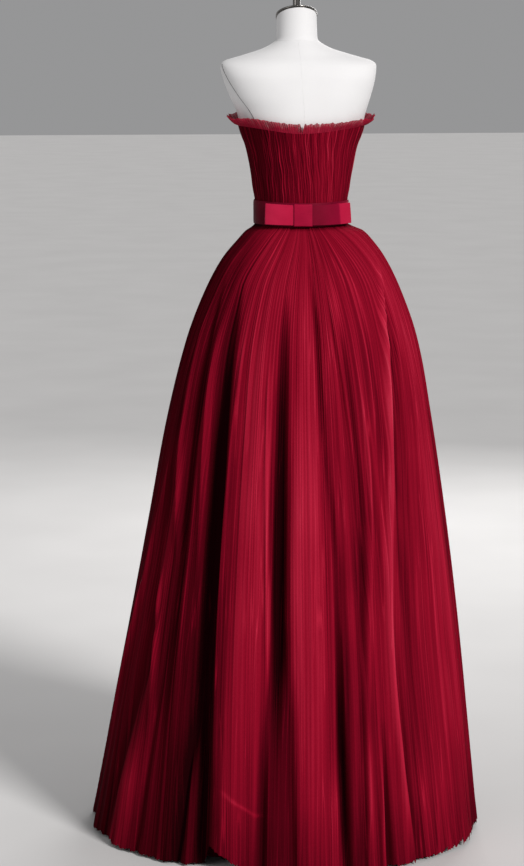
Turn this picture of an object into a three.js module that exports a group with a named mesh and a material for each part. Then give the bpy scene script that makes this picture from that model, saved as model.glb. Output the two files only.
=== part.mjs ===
// A strapless prom dress that hangs on a limbless dress form with a pole and a round base.
// Sizes are millimetres and +Z is up. The front faces -Y, the back with its bow faces +Y, and the wearer's
// left is +X. The origin is on the floor under the middle of the pole. Angles are degrees about the upright
// axis: 0 is the wearer's left side, 90 the centre back, 180 the wearer's right side, 270 the centre front.
import * as THREE from "three";

const { lerp, smoothstep, degToRad, radToDeg } = THREE.MathUtils;

// Cloth
const SEAM_GAP = 0.3;
const BODICE_WALL = 1.4;
const SKIRT_WALL = 1.4;
const LINING_WALL = 1.2;
const FRILL_WALL = 1.2;
const SATIN_WALL = 1.5;

// Heights and counts of the garment
const WAIST_SEAM = 1305;
const WAIST_DEPTH = 75;
const TOP_EDGE = { back: 1494, side: 1509, front: 1532, frontDip: 9, dipWidth: 16 };
const CENTRE_BACK = 90;
const CENTRE_FRONT = 270;
const BACK_DIP = { depth: 3.4, height: 1312, reach: 60 };
const BACK_SEAM_LEAN = { angle: 7.7, from: 1350, to: 1494, width: 42 };

// The figure under the dress, as sections from the neck down to the lower edge of the form. "side", "back"
// and "front" are half widths from the axis, "square" is 2 for an ellipse and more for a squarer outline,
// "lean" moves a section towards the back and "sway" towards the wearer's left, and "rise" lifts it for each
// millimetre towards the back.
const FIGURE = [
  { height: 1732, side: 42, back: 43, front: 43, square: 2, lean: -20, sway: 7.5, rise: 0.45 },
  { height: 1712, side: 42.5, back: 43, front: 43, square: 2, lean: -18, sway: 7.5, rise: 0.2 },
  { height: 1686, side: 43.5, back: 44, front: 44, square: 2, lean: -14, sway: 7.5, rise: 0 },
  { height: 1681, side: 48, back: 48, front: 47, square: 2, lean: -13, sway: 7.5, rise: 0 },
  { height: 1668, side: 71, back: 58, front: 54, square: 1.9, lean: -10, sway: 7.5, rise: 0 },
  { height: 1652, side: 122, back: 68, front: 58, square: 1.7, lean: -6, sway: 6.5, rise: 0 },
  { height: 1640, side: 160, back: 76, front: 62, square: 1.8, lean: -3, sway: 6, rise: 0 },
  { height: 1632, side: 165.5, back: 80, front: 66, square: 2, lean: -2, sway: 6, rise: 0 },
  { height: 1602, side: 160, back: 88, front: 76, square: 2.3, lean: 0, sway: 4.5, rise: 0 },
  { height: 1568, side: 149, back: 92, front: 85, square: 2.3, lean: 0, sway: 2.5, rise: 0 },
  { height: 1534, side: 136, back: 93, front: 90, square: 2.2, lean: 0, sway: 0, rise: 0 },
  { height: 1501, side: 128.5, back: 91.5, front: 93, square: 2.1, lean: 0, sway: 0, rise: 0 },
  { height: 1484, side: 123, back: 90, front: 93.5, square: 2, lean: 0, sway: 0, rise: 0 },
  { height: 1468, side: 116.5, back: 88, front: 93, square: 2, lean: 0, sway: 0, rise: 0 },
  { height: 1435, side: 108.5, back: 85, front: 91, square: 2, lean: 0, sway: 0, rise: 0 },
  { height: 1400, side: 102.5, back: 82, front: 88, square: 2, lean: 0, sway: 0, rise: 0 },
  { height: 1350, side: 96.5, back: 79, front: 84, square: 2, lean: 0, sway: 0, rise: 0 },
  { height: 1325, side: 95, back: 77.5, front: 82.5, square: 2, lean: 0, sway: 0, rise: 0 },
  { height: 1300, side: 93, back: 75, front: 80, square: 2, lean: 0, sway: 0, rise: 0 },
  { height: 1275, side: 97, back: 81, front: 84, square: 2, lean: 0, sway: 0, rise: 0 },
  { height: 1240, side: 113, back: 96, front: 92, square: 2, lean: 0, sway: 0, rise: 0 },
  { height: 1180, side: 134, back: 112, front: 99, square: 2, lean: 0, sway: 0, rise: 0 },
  { height: 1120, side: 145, back: 118, front: 103, square: 2, lean: 0, sway: 0, rise: 0 },
  { height: 1056, side: 146, back: 117, front: 104, square: 2, lean: 0, sway: 0, rise: 0 },
];
const CUP = { offset: 32, width: 21, height: 1466, spread: 42, depth: 24 };
const FIGURE_COLUMNS = 36;

// The bodice and its clearance from the figure
const BODICE = {
  pleatDepth: 1.3,
  pleatFrom: 1352,
  pleatFull: 1385,
  clearance: 1.6,
  waistClearance: 0.6,
  cupShare: 0.26,
};
const BODICE_RING_HEIGHTS = [1468, 1435, 1400, 1350];
const BODICE_TOP_RINGS = [1, 0.5];
const BODICE_PANELS = [
  { name: "bodice_back_left", from: 0, to: 90, columns: 22 },
  { name: "bodice_back_right", from: 90, to: 180, columns: 22 },
  { name: "bodice_front", from: 180, to: 360, columns: 44 },
];

// The gathered strip along the top edge: its height, how far it leans out and how deep its waves are
const FRILL = { gap: 0.4, height: 21, sideExtra: 6, waves: 36, waveDepth: 6, notchShare: 0.45 };
const FRILL_FLARE = { back: 7, side: 16, front: 9 };
const FRILL_RING_SHARES = [1, 0.5, 0];

// The waist band and its flat bow. Angles run from the wearer's left through the back.
const BELT = { height: 49, bottom: 1302, gap: 3.1, wall: 2, columns: 40 };
const BOW = {
  middle: 84,
  middleGap: 0.3,
  layerGap: 6.5,
  beltGap: 0.5,
  height: 42.5,
  foldColumns: 6,
};
const BOW_LOOPS = [
  { name: "bow_loop_left", end: 36.5, lift: 3, columns: 6 },
  { name: "bow_loop_right", end: 150, lift: 7, columns: 9 },
];
const KNOT = { from: 72, to: 96, height: 47.5, rise: 12.7, corner: 2.5, rings: 5 };

// The skirt as sections from the waist seam to the hem. "left" is the wearer's left. The sizes reach the
// pleats' crests, and "pleat" is how deep the pleats are there.
const SKIRT = [
  { height: 1305, left: 98.4, right: 98.4, back: 80.9, front: 85.9, pleat: 0.5 },
  { height: 1301.5, left: 98.6, right: 98.6, back: 81.1, front: 86.1, pleat: 0.6 },
  { height: 1296, left: 102.5, right: 107, back: 86, front: 91, pleat: 0.9 },
  { height: 1287, left: 116, right: 130, back: 99, front: 104, pleat: 1.5 },
  { height: 1268, left: 134, right: 150, back: 121, front: 122, pleat: 2.2 },
  { height: 1227, left: 168, right: 180, back: 158, front: 152, pleat: 3.4 },
  { height: 1158, left: 205, right: 214, back: 198, front: 190, pleat: 4.6 },
  { height: 1051, left: 246, right: 251, back: 240, front: 230, pleat: 5.6 },
  { height: 890, left: 288, right: 281, back: 282, front: 268, pleat: 6.6 },
  { height: 670, left: 330, right: 315, back: 326, front: 309, pleat: 7.4 },
  { height: 360, left: 391, right: 353, back: 378, front: 356, pleat: 8.2 },
  { height: 3, left: 461, right: 390, back: 418, front: 400, pleat: 9 },
];
const SKIRT_PANELS = [
  { name: "skirt_back_left", from: 0, to: 90, columns: 36 },
  { name: "skirt_back_right", from: 90, to: 180, columns: 36 },
  { name: "skirt_front", from: 180, to: 360, columns: 72 },
];
const HEM_STEP = 5;

// The deep folds of the skirt: the angle of the trough at the hem, how far that angle moves towards the
// waist, the depth at the hem, half the width in degrees and the height where the fold begins.
const FOLDS = [
  { angle: 15, drift: 6, depth: 20, width: 4, start: 900 },
  { angle: 38, drift: -9, depth: 26, width: 4.5, start: 1190 },
  { angle: 52.5, drift: -9.5, depth: 42, width: 5.5, start: 1190 },
  { angle: 75, drift: -4, depth: 28, width: 4, start: 1140 },
  { angle: 95, drift: -2, depth: 22, width: 3.2, start: 960 },
  { angle: 105, drift: -1, depth: 14, width: 3, start: 1150 },
  { angle: 117, drift: 13, depth: 26, width: 4.5, start: 1180 },
  { angle: 137, drift: 3, depth: 12, width: 4, start: 900 },
  { angle: 153, drift: 6, depth: 18, width: 5, start: 1100 },
  { angle: 171, drift: 3, depth: 16, width: 4.5, start: 980 },
  { angle: 186, drift: 2, depth: 22, width: 5, start: 1080 },
  { angle: 203, drift: 6, depth: 36, width: 7, start: 1180 },
  { angle: 221, drift: 1, depth: 18, width: 4.5, start: 900 },
  { angle: 238, drift: 3, depth: 28, width: 6, start: 1130 },
  { angle: 256, drift: -1, depth: 20, width: 4.5, start: 980 },
  { angle: 274, drift: 2, depth: 38, width: 7, start: 1190 },
  { angle: 291, drift: -4, depth: 20, width: 4.5, start: 1040 },
  { angle: 306, drift: -3, depth: 30, width: 6, start: 1150 },
  { angle: 322, drift: -6, depth: 19, width: 4.5, start: 930 },
  { angle: 339, drift: -4, depth: 30, width: 6, start: 1120 },
  { angle: 357, drift: -3, depth: 16, width: 4, start: 1060 },
];

// The plain under layer, with a few soft waves
const LINING = [
  { height: 1303, left: 96.1, right: 96.1, back: 78.6, front: 83.6 },
  { height: 1295, left: 96, right: 96, back: 78.5, front: 83.5 },
  { height: 1280, left: 106, right: 114, back: 91, front: 96 },
  { height: 1227, left: 152, right: 163, back: 142, front: 136 },
  { height: 1051, left: 224, right: 229, back: 218, front: 208 },
  { height: 670, left: 291, right: 277, back: 287, front: 270 },
  { height: 9, left: 396, right: 326, back: 353, front: 336 },
];
const LINING_WAVES = { count: 10, depth: 7, columns: 40 };

// The form's fittings
const NECK_CAP = { radius: 44, thickness: 4, edge: 1.5, gap: 0.3 };
const NECK_POST = { radius: 8, top: 1790, knobRadius: 13, knobHeight: 16 };
const STAND = { poleRadius: 14, baseRadius: 165, baseHeight: 12, baseEdge: 4, gap: 0.3 };
const ROUND_COLUMNS = 32;

const crimsonTulle = { color: 0x8e0c28, roughness: 0.8, metalness: 0 };
const crimsonSheer = { color: 0xa3233c, roughness: 0.85, metalness: 0 };
const crimsonSatin = { color: 0xb0183a, roughness: 0.38, metalness: 0 };
const crimsonLining = { color: 0x5c0518, roughness: 0.6, metalness: 0 };
const formWhite = { color: 0xeceae6, roughness: 0.7, metalness: 0 };
const chromeMetal = { color: 0xb9b8b4, roughness: 0.2, metalness: 1 };

const dress = new THREE.Group();

function addPiece(name, geometry, finish) {
  const piece = new THREE.Mesh(geometry, new THREE.MeshStandardMaterial(finish));
  piece.name = name;
  dress.add(piece);
  return piece;
}

// A geometry from points and triangles.
function geometryOf(points, triangles) {
  const geometry = new THREE.BufferGeometry().setFromPoints(points);
  geometry.setIndex(triangles);
  geometry.computeVertexNormals();
  return geometry;
}

// A closed wall between an outer and an inner grid of points. Columns run the way the angle grows and rings
// run downwards. A wall that isn't a whole tube gets a face at each end.
function wallGeometry(columns, rings, outerPoint, innerPoint, isTube) {
  const perRing = isTube ? columns : columns + 1;
  const points = [];
  for (const pointAt of [outerPoint, innerPoint]) {
    for (let ring = 0; ring < rings; ring += 1) {
      for (let column = 0; column < perRing; column += 1) points.push(pointAt(column, ring));
    }
  }
  const outer = (column, ring) => ring * perRing + (column % perRing);
  const inner = (column, ring) => outer(column, ring) + rings * perRing;
  const triangles = [];
  const addQuad = (a, b, c, d) => triangles.push(a, b, c, a, c, d);
  const last = rings - 1;
  for (let column = 0; column < columns; column += 1) {
    const next = column + 1;
    for (let ring = 0; ring < last; ring += 1) {
      const below = ring + 1;
      addQuad(outer(column, below), outer(next, below), outer(next, ring), outer(column, ring));
      addQuad(inner(next, ring), inner(next, below), inner(column, below), inner(column, ring));
    }
    addQuad(outer(column, 0), outer(next, 0), inner(next, 0), inner(column, 0));
    addQuad(outer(column, last), inner(column, last), inner(next, last), outer(next, last));
  }
  for (let ring = 0; ring < last && !isTube; ring += 1) {
    const below = ring + 1;
    addQuad(outer(0, ring), inner(0, ring), inner(0, below), outer(0, below));
    addQuad(outer(columns, ring), outer(columns, below), inner(columns, below), inner(columns, ring));
  }
  return geometryOf(points, triangles);
}

// A closed solid through whole rings of points, from the top down, with a flat fan at each end.
function solidGeometry(columns, rings, pointAt) {
  const points = [];
  for (let ring = 0; ring < rings; ring += 1) {
    for (let column = 0; column < columns; column += 1) points.push(pointAt(column, ring));
  }
  const index = (column, ring) => ring * columns + (column % columns);
  const last = rings - 1;
  const middles = [0, last].map((ring) => {
    const middle = new THREE.Vector3();
    for (let column = 0; column < columns; column += 1) middle.add(points[index(column, ring)]);
    points.push(middle.divideScalar(columns));
    return points.length - 1;
  });
  const triangles = [];
  for (let column = 0; column < columns; column += 1) {
    const next = column + 1;
    for (let ring = 0; ring < last; ring += 1) {
      triangles.push(index(column, ring + 1), index(next, ring + 1), index(next, ring));
      triangles.push(index(column, ring + 1), index(next, ring), index(column, ring));
    }
    triangles.push(middles[0], index(column, 0), index(next, 0));
    triangles.push(middles[1], index(next, last), index(column, last));
  }
  return geometryOf(points, triangles);
}

function around(angle, radius, height) {
  const turn = degToRad(angle);
  return new THREE.Vector3(radius * Math.cos(turn), radius * Math.sin(turn), height);
}

// The difference of two angles, from -180 to 180.
function turnBetween(angle, other) {
  return THREE.MathUtils.euclideanModulo(angle - other + 180, 360) - 180;
}

// A bell curve of an angle about another.
function nearAngle(angle, centre, width) {
  return Math.exp(-((turnBetween(angle, centre) / width) ** 2));
}

// The sizes of a table that runs downwards, at any height.
function sectionAt(table, height) {
  const found = table.findIndex((row) => row.height <= height);
  const below = table[found < 0 ? table.length - 1 : Math.max(found, 1)];
  const above = table[table.indexOf(below) - 1];
  const share = THREE.MathUtils.clamp((above.height - height) / (above.height - below.height), 0, 1);
  const section = {};
  for (const key of Object.keys(above)) section[key] = lerp(above[key], below[key], share);
  return section;
}

// The distance from the axis to a section's outline.
function outlineRadius(section, angle) {
  const across = Math.cos(degToRad(angle));
  const deep = Math.sin(degToRad(angle));
  const halfWidth = section.side ?? (across > 0 ? section.left : section.right);
  const halfDepth = deep > 0 ? section.back : section.front;
  const power = section.square ?? 2;
  const share = Math.abs(across / halfWidth) ** power + Math.abs(deep / halfDepth) ** power;
  return share ** (-1 / power);
}

function cupRelief(angle, height) {
  const upright = Math.exp(-(((height - CUP.height) / CUP.spread) ** 2));
  const left = nearAngle(angle, CENTRE_FRONT + CUP.offset, CUP.width);
  const right = nearAngle(angle, CENTRE_FRONT - CUP.offset, CUP.width);
  return CUP.depth * upright * (left + right);
}

function figureRadius(angle, height) {
  return outlineRadius(sectionAt(FIGURE, height), angle) + cupRelief(angle, height);
}

// A point of the garment. The waist sits a little lower at the centre back.
function garmentPoint(angle, radius, height) {
  const backward = Math.max(0, Math.sin(degToRad(angle))) ** 2;
  const closeness = Math.exp(-(((height - BACK_DIP.height) / BACK_DIP.reach) ** 2));
  return around(angle, radius, height - BACK_DIP.depth * backward * closeness);
}

// A fixed unevenness between 0 and 1 for the pleat with this number.
function uneven(number) {
  return 0.5 + 0.5 * Math.sin(number * 2.4 + 1.3 * Math.sin(number * 0.7));
}

// A panel's angle at a column. The first and last columns stay half a seam's gap short of the seam.
function panelAngle(panel, column, radius) {
  const inset = radToDeg(SEAM_GAP / 2 / radius);
  const angle = lerp(panel.from, panel.to, column / panel.columns);
  if (column === 0) return angle + inset;
  return column === panel.columns ? angle - inset : angle;
}

// The centre-back seam of the bodice leans to the wearer's left as it goes up.
function leaningAngle(angle, height) {
  const climb = smoothstep(height, BACK_SEAM_LEAN.from, BACK_SEAM_LEAN.to);
  return angle - BACK_SEAM_LEAN.angle * climb * nearAngle(angle, CENTRE_BACK, BACK_SEAM_LEAN.width);
}

function topEdgeHeight(angle) {
  const deep = Math.sin(degToRad(angle));
  const end = deep > 0 ? TOP_EDGE.back : TOP_EDGE.front;
  const dip = TOP_EDGE.frontDip * nearAngle(angle, CENTRE_FRONT, TOP_EDGE.dipWidth);
  return lerp(TOP_EDGE.side, end, deep * deep) - dip;
}

function bodiceInnerRadius(angle, height) {
  const looser = smoothstep(height, BODICE.pleatFrom, BODICE.pleatFull);
  const clearance = lerp(BODICE.waistClearance, BODICE.clearance, looser);
  return figureRadius(angle, height) + clearance + BODICE.cupShare * cupRelief(angle, height);
}

function addBodicePanel(panel) {
  const topRings = BODICE_TOP_RINGS.length;
  const rings = topRings + BODICE_RING_HEIGHTS.length + 1;
  const lowest = WAIST_SEAM + SEAM_GAP;
  const heightAt = (angle, ring) => {
    const topShare = BODICE_TOP_RINGS[ring];
    if (ring < topRings) return lerp(BODICE_RING_HEIGHTS[0], topEdgeHeight(angle), topShare);
    return BODICE_RING_HEIGHTS[ring - topRings] ?? lowest;
  };
  const pointAt = (column, ring, isOuter) => {
    const seamAngle = panelAngle(panel, column, WAIST_DEPTH);
    const height = heightAt(seamAngle, ring);
    const angle = leaningAngle(seamAngle, height);
    const isCrest = column % 2 === 1;
    const depth = BODICE.pleatDepth * lerp(0.6, 1, uneven(column + panel.from));
    const relief = isCrest ? depth * smoothstep(height, BODICE.pleatFrom, BODICE.pleatFull) : 0;
    const radius = bodiceInnerRadius(angle, height) + (isOuter ? BODICE_WALL + relief : 0);
    return garmentPoint(angle, radius, height);
  };
  const geometry = wallGeometry(
    panel.columns,
    rings,
    (column, ring) => pointAt(column, ring, true),
    (column, ring) => pointAt(column, ring, false),
    false,
  );
  addPiece(panel.name, geometry, crimsonTulle);
}

// The frill stands on the top edge and leans out, most at the sides. Its ends meet in a notch at the centre
// back.
function addFrill() {
  const columns = FRILL.waves * 2;
  const strip = { from: CENTRE_BACK, to: CENTRE_BACK + 360, columns };
  const pointAt = (column, ring, side) => {
    const seamAngle = panelAngle(strip, column, WAIST_DEPTH / 3);
    const base = topEdgeHeight(seamAngle) + FRILL.gap;
    const angle = leaningAngle(seamAngle, base);
    const share = FRILL_RING_SHARES[ring];
    const sideways = Math.cos(degToRad(seamAngle)) ** 2;
    const end = Math.sin(degToRad(seamAngle)) > 0 ? FRILL_FLARE.back : FRILL_FLARE.front;
    const isEnd = column === 0 || column === columns;
    const tall = (FRILL.height + FRILL.sideExtra * sideways ** 3) * (isEnd ? FRILL.notchShare : 1);
    const wave = (column % 2 === 1 ? 0.5 : -0.5) * FRILL.waveDepth * lerp(0.55, 1, uneven(column));
    const height = base + share * tall * lerp(0.86, 1, uneven(column * 3));
    const flare = lerp(end, FRILL_FLARE.side, sideways ** 2);
    const middle = bodiceInnerRadius(angle, height) + BODICE_WALL / 2 + share * (flare + wave);
    return around(angle, middle + (side * FRILL_WALL) / 2, height);
  };
  const geometry = wallGeometry(
    columns,
    FRILL_RING_SHARES.length,
    (column, ring) => pointAt(column, ring, 1),
    (column, ring) => pointAt(column, ring, -1),
    false,
  );
  addPiece("top_frill", geometry, crimsonSheer);
}

function beltRadius(angle) {
  return figureRadius(angle, BODICE_RING_HEIGHTS[BODICE_RING_HEIGHTS.length - 1]) + BELT.gap;
}

function addBelt() {
  const heights = [BELT.bottom + BELT.height, BELT.bottom];
  const pointAt = (column, ring, thickness) => {
    const angle = (column * 360) / BELT.columns;
    const point = garmentPoint(angle, beltRadius(angle) + thickness, BELT.bottom + BELT.height / 2);
    return point.setZ(point.z + heights[ring] - BELT.bottom - BELT.height / 2);
  };
  const geometry = wallGeometry(
    BELT.columns,
    heights.length,
    (column, ring) => pointAt(column, ring, BELT.wall),
    (column, ring) => pointAt(column, ring, 0),
    true,
  );
  addPiece("belt", geometry, crimsonSatin);
}

// The level of the belt's middle line at an angle.
function beltLevel(angle) {
  return garmentPoint(angle, beltRadius(angle), BELT.bottom + BELT.height / 2).z;
}

// A bow loop is a band that leaves the knot, folds over at its outer end and comes back: a wall along a
// path in plan, with its outer side away from the loop's hollow.
function addBowLoop(loop) {
  const start = BOW.middle + BOW.middleGap * Math.sign(loop.end - BOW.middle);
  const near = BELT.wall + BOW.beltGap + SATIN_WALL / 2;
  const foldRadius = BOW.layerGap / 2;
  const path = [];
  const layerPoint = (share, layer) => {
    const angle = lerp(start, loop.end, share);
    const lift = loop.lift * share * share;
    return { angle, radius: beltRadius(angle) + near + lift + layer * BOW.layerGap };
  };
  for (let column = 0; column <= loop.columns; column += 1) {
    path.push(layerPoint(column / loop.columns, 1));
  }
  const tip = layerPoint(1, 0.5);
  const away = Math.sign(loop.end - start);
  for (let column = 1; column < BOW.foldColumns; column += 1) {
    const turn = (Math.PI * column) / BOW.foldColumns;
    const reach = radToDeg((foldRadius * Math.sin(turn)) / tip.radius);
    path.push({ angle: tip.angle + away * reach, radius: tip.radius + foldRadius * Math.cos(turn) });
  }
  for (let column = loop.columns; column >= 0; column -= 1) {
    path.push(layerPoint(column / loop.columns, 0));
  }
  if (away < 0) path.reverse();
  const flat = path.map((place) => around(place.angle, place.radius, 0));
  const levels = path.map((place) => beltLevel(place.angle));
  const pointAt = (column, ring, side) => {
    const before = flat[Math.max(column - 1, 0)];
    const after = flat[Math.min(column + 1, flat.length - 1)];
    const along = after.clone().sub(before).normalize();
    const outward = new THREE.Vector3(along.y, -along.x, 0);
    const point = flat[column].clone().addScaledVector(outward, (side * SATIN_WALL) / 2);
    return point.setZ(levels[column] + (ring === 0 ? 0.5 : -0.5) * BOW.height);
  };
  const geometry = wallGeometry(
    flat.length - 1,
    2,
    (column, ring) => pointAt(column, ring, 1),
    (column, ring) => pointAt(column, ring, -1),
    false,
  );
  addPiece(loop.name, geometry, crimsonSatin);
}

// The knot is a band over the two loops, with returns above and below them that reach back to the belt.
function addKnot() {
  const near = BELT.wall + SEAM_GAP;
  const half = KNOT.height / 2;
  const corner = KNOT.corner;
  const profile = [
    { out: near, up: half },
    { out: KNOT.rise - corner, up: half },
    { out: KNOT.rise - 0.3 * corner, up: half - 0.3 * corner },
    { out: KNOT.rise, up: half - corner },
    { out: KNOT.rise, up: corner - half },
    { out: KNOT.rise - 0.3 * corner, up: 0.3 * corner - half },
    { out: KNOT.rise - corner, up: -half },
    { out: near, up: -half },
  ];
  const inward = [
    { out: 0, up: -1 },
    { out: -0.4, up: -1 },
    { out: -0.75, up: -0.75 },
    { out: -1, up: -0.4 },
    { out: -1, up: 0.4 },
    { out: -0.75, up: 0.75 },
    { out: -0.4, up: 1 },
    { out: 0, up: 1 },
  ];
  const pointAt = (column, ring, depth) => {
    const angle = lerp(KNOT.to, KNOT.from, ring / (KNOT.rings - 1));
    const out = profile[column].out + depth * inward[column].out;
    const up = profile[column].up + depth * inward[column].up;
    return around(angle, beltRadius(angle) + out, beltLevel(angle) + up);
  };
  const geometry = wallGeometry(
    profile.length - 1,
    KNOT.rings,
    (column, ring) => pointAt(column, ring, 0),
    (column, ring) => pointAt(column, ring, SATIN_WALL),
    false,
  );
  addPiece("bow_knot", geometry, crimsonSatin);
}

function foldDepth(angle, height) {
  let depth = 0;
  for (const fold of FOLDS) {
    const grown = Math.max(0, (fold.start - height) / fold.start);
    const trough = fold.angle + fold.drift * (height / fold.start);
    depth += fold.depth * grown ** 0.7 * nearAngle(angle, trough, fold.width);
  }
  return depth;
}

// Outer and inner points of the skirt's cloth. The thickness is measured square to the skirt's slope.
function skirtPoint(panel, column, ring, thickness) {
  const row = SKIRT[ring];
  const isEdge = ring === 0 || ring === SKIRT.length - 1;
  const angle = panelAngle(panel, column, outlineRadius(row, panel.to));
  const number = column + panel.from;
  const isTrough = column % 2 === 0;
  const pleat = isTrough ? row.pleat * lerp(0.75, 1, uneven(number)) : 0;
  const radius = outlineRadius(row, angle) - foldDepth(angle, row.height) - pleat;
  const hem = ring === SKIRT.length - 1 ? HEM_STEP * uneven(Math.floor(number / 3)) : 0;
  let outward = 1;
  let upward = 0;
  if (!isEdge) {
    const above = SKIRT[ring - 1];
    const below = SKIRT[ring + 1];
    const fall = above.height - below.height;
    const spread = outlineRadius(below, angle) - outlineRadius(above, angle);
    outward = fall / Math.hypot(fall, spread);
    upward = spread / Math.hypot(fall, spread);
  }
  return garmentPoint(angle, radius - thickness * outward, row.height + hem - thickness * upward);
}

function addSkirtPanel(panel) {
  const geometry = wallGeometry(
    panel.columns,
    SKIRT.length,
    (column, ring) => skirtPoint(panel, column, ring, 0),
    (column, ring) => skirtPoint(panel, column, ring, SKIRT_WALL),
    false,
  );
  addPiece(panel.name, geometry, crimsonTulle);
}

function addLining() {
  const top = LINING[0].height;
  const pointAt = (column, ring, thickness) => {
    const row = LINING[ring];
    const angle = (column * 360) / LINING_WAVES.columns;
    const wave = Math.cos(degToRad(angle * LINING_WAVES.count)) * (1 - row.height / top);
    const radius = outlineRadius(row, angle) + LINING_WAVES.depth * wave;
    return garmentPoint(angle, radius - thickness, row.height);
  };
  const geometry = wallGeometry(
    LINING_WAVES.columns,
    LINING.length,
    (column, ring) => pointAt(column, ring, 0),
    (column, ring) => pointAt(column, ring, LINING_WALL),
    true,
  );
  addPiece("skirt_lining", geometry, crimsonLining);
}

function addTorso() {
  const geometry = solidGeometry(FIGURE_COLUMNS, FIGURE.length, (column, ring) => {
    const row = FIGURE[ring];
    const angle = (column * 360) / FIGURE_COLUMNS;
    const point = around(angle, outlineRadius(row, angle) + cupRelief(angle, row.height), row.height);
    point.z += row.rise * point.y;
    point.x += row.sway;
    point.y += row.lean;
    return point;
  });
  addPiece("form_torso", geometry, formWhite);
}

// The metal cap lies on the sloping top of the neck, and the post stands upright on it.
function addNeckFittings() {
  const neck = FIGURE[0];
  const slope = Math.atan(neck.rise);
  const { radius, thickness, edge, gap } = NECK_CAP;
  const profile = [
    new THREE.Vector2(0, 0),
    new THREE.Vector2(radius - edge, 0),
    new THREE.Vector2(radius, edge),
    new THREE.Vector2(radius - edge, thickness - edge),
    new THREE.Vector2(radius - 3 * edge, thickness),
    new THREE.Vector2(0, thickness),
  ];
  const plate = new THREE.LatheGeometry(profile, ROUND_COLUMNS);
  plate.rotateX(Math.PI / 2 + slope);
  plate.translate(neck.sway, neck.lean - gap * Math.sin(slope), neck.height + gap * Math.cos(slope));
  addPiece("neck_cap", plate, chromeMetal);

  const foot = neck.height + (thickness + 2 * gap) / Math.cos(slope);
  const { top, knobRadius, knobHeight } = NECK_POST;
  const rings = [
    { height: top, radius: 0.55 * knobRadius, rise: 0 },
    { height: top - 0.2 * knobHeight, radius: 0.9 * knobRadius, rise: 0 },
    { height: top - 0.5 * knobHeight, radius: knobRadius, rise: 0 },
    { height: top - 0.8 * knobHeight, radius: 0.9 * knobRadius, rise: 0 },
    { height: top - knobHeight, radius: NECK_POST.radius, rise: 0 },
    { height: foot, radius: NECK_POST.radius, rise: neck.rise },
  ];
  const post = solidGeometry(ROUND_COLUMNS / 2, rings.length, (column, ring) => {
    const { height, radius: reach, rise } = rings[ring];
    const point = around((column * 720) / ROUND_COLUMNS, reach, height);
    point.z += rise * point.y;
    point.x += neck.sway;
    point.y += neck.lean;
    return point;
  });
  addPiece("neck_post", post, chromeMetal);
}

function addStand() {
  const { poleRadius, baseRadius, baseHeight, baseEdge, gap } = STAND;
  const bottom = FIGURE[FIGURE.length - 1].height;
  const poleHeight = bottom - baseHeight - 2 * gap;
  const pole = new THREE.CylinderGeometry(poleRadius, poleRadius, poleHeight, ROUND_COLUMNS / 2);
  pole.rotateX(Math.PI / 2);
  pole.translate(0, 0, baseHeight + gap + poleHeight / 2);
  addPiece("stand_pole", pole, chromeMetal);

  const profile = [
    new THREE.Vector2(0, 0),
    new THREE.Vector2(baseRadius - baseEdge / 2, 0),
    new THREE.Vector2(baseRadius, baseEdge / 2),
    new THREE.Vector2(baseRadius, baseHeight - baseEdge),
    new THREE.Vector2(baseRadius - baseEdge, baseHeight),
    new THREE.Vector2(0, baseHeight),
  ];
  const base = new THREE.LatheGeometry(profile, ROUND_COLUMNS);
  base.rotateX(Math.PI / 2);
  addPiece("stand_base", base, chromeMetal);
}

BODICE_PANELS.forEach(addBodicePanel);
addFrill();
addBelt();
BOW_LOOPS.forEach(addBowLoop);
addKnot();
SKIRT_PANELS.forEach(addSkirtPanel);
addLining();
addTorso();
addNeckFittings();
addStand();

export default dress;
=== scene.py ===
# A strapless crimson prom dress on a white limbless dress form, built as fine meshes around its solids.
# Tables and shapes are in millimetres and degrees, and become metres when a mesh is made. The wearer's left
# is +X, the back with its bow faces +Y, and angles run from 0 at the wearer's left through 90 at the centre
# back and 180 at the wearer's right to 270 at the centre front.
import math
from collections import namedtuple

import bpy
import numpy as np
from mathutils import Matrix, Vector


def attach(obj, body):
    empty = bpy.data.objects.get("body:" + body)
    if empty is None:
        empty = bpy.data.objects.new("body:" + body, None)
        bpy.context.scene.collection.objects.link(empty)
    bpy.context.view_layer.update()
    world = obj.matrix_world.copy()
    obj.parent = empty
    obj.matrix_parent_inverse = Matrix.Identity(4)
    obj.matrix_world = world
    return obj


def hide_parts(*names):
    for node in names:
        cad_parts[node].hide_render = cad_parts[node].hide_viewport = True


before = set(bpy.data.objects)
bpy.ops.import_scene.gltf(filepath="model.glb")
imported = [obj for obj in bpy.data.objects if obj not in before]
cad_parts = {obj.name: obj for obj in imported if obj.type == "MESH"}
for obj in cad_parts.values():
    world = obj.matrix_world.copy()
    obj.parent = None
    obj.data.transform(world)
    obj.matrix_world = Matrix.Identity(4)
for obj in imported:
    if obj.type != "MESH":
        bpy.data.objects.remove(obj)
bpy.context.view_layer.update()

MM = 0.001
TURN = 360.0

# Heights of the garment
WAIST_SEAM = 1305.0
SEAM_GAP = 0.3
CENTRE_BACK = 90.0
CENTRE_FRONT = 270.0
TOP_EDGE_BACK, TOP_EDGE_SIDE, TOP_EDGE_FRONT = 1494.0, 1509.0, 1532.0
TOP_EDGE_DIP, TOP_EDGE_DIP_WIDTH = 9.0, 16.0
WAIST_DIP, WAIST_DIP_HEIGHT, WAIST_DIP_SPREAD = 3.4, 1312.0, 60.0
SEAM_LEAN, SEAM_LEAN_FROM, SEAM_LEAN_WIDTH = 7.7, 1350.0, 42.0

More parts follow.
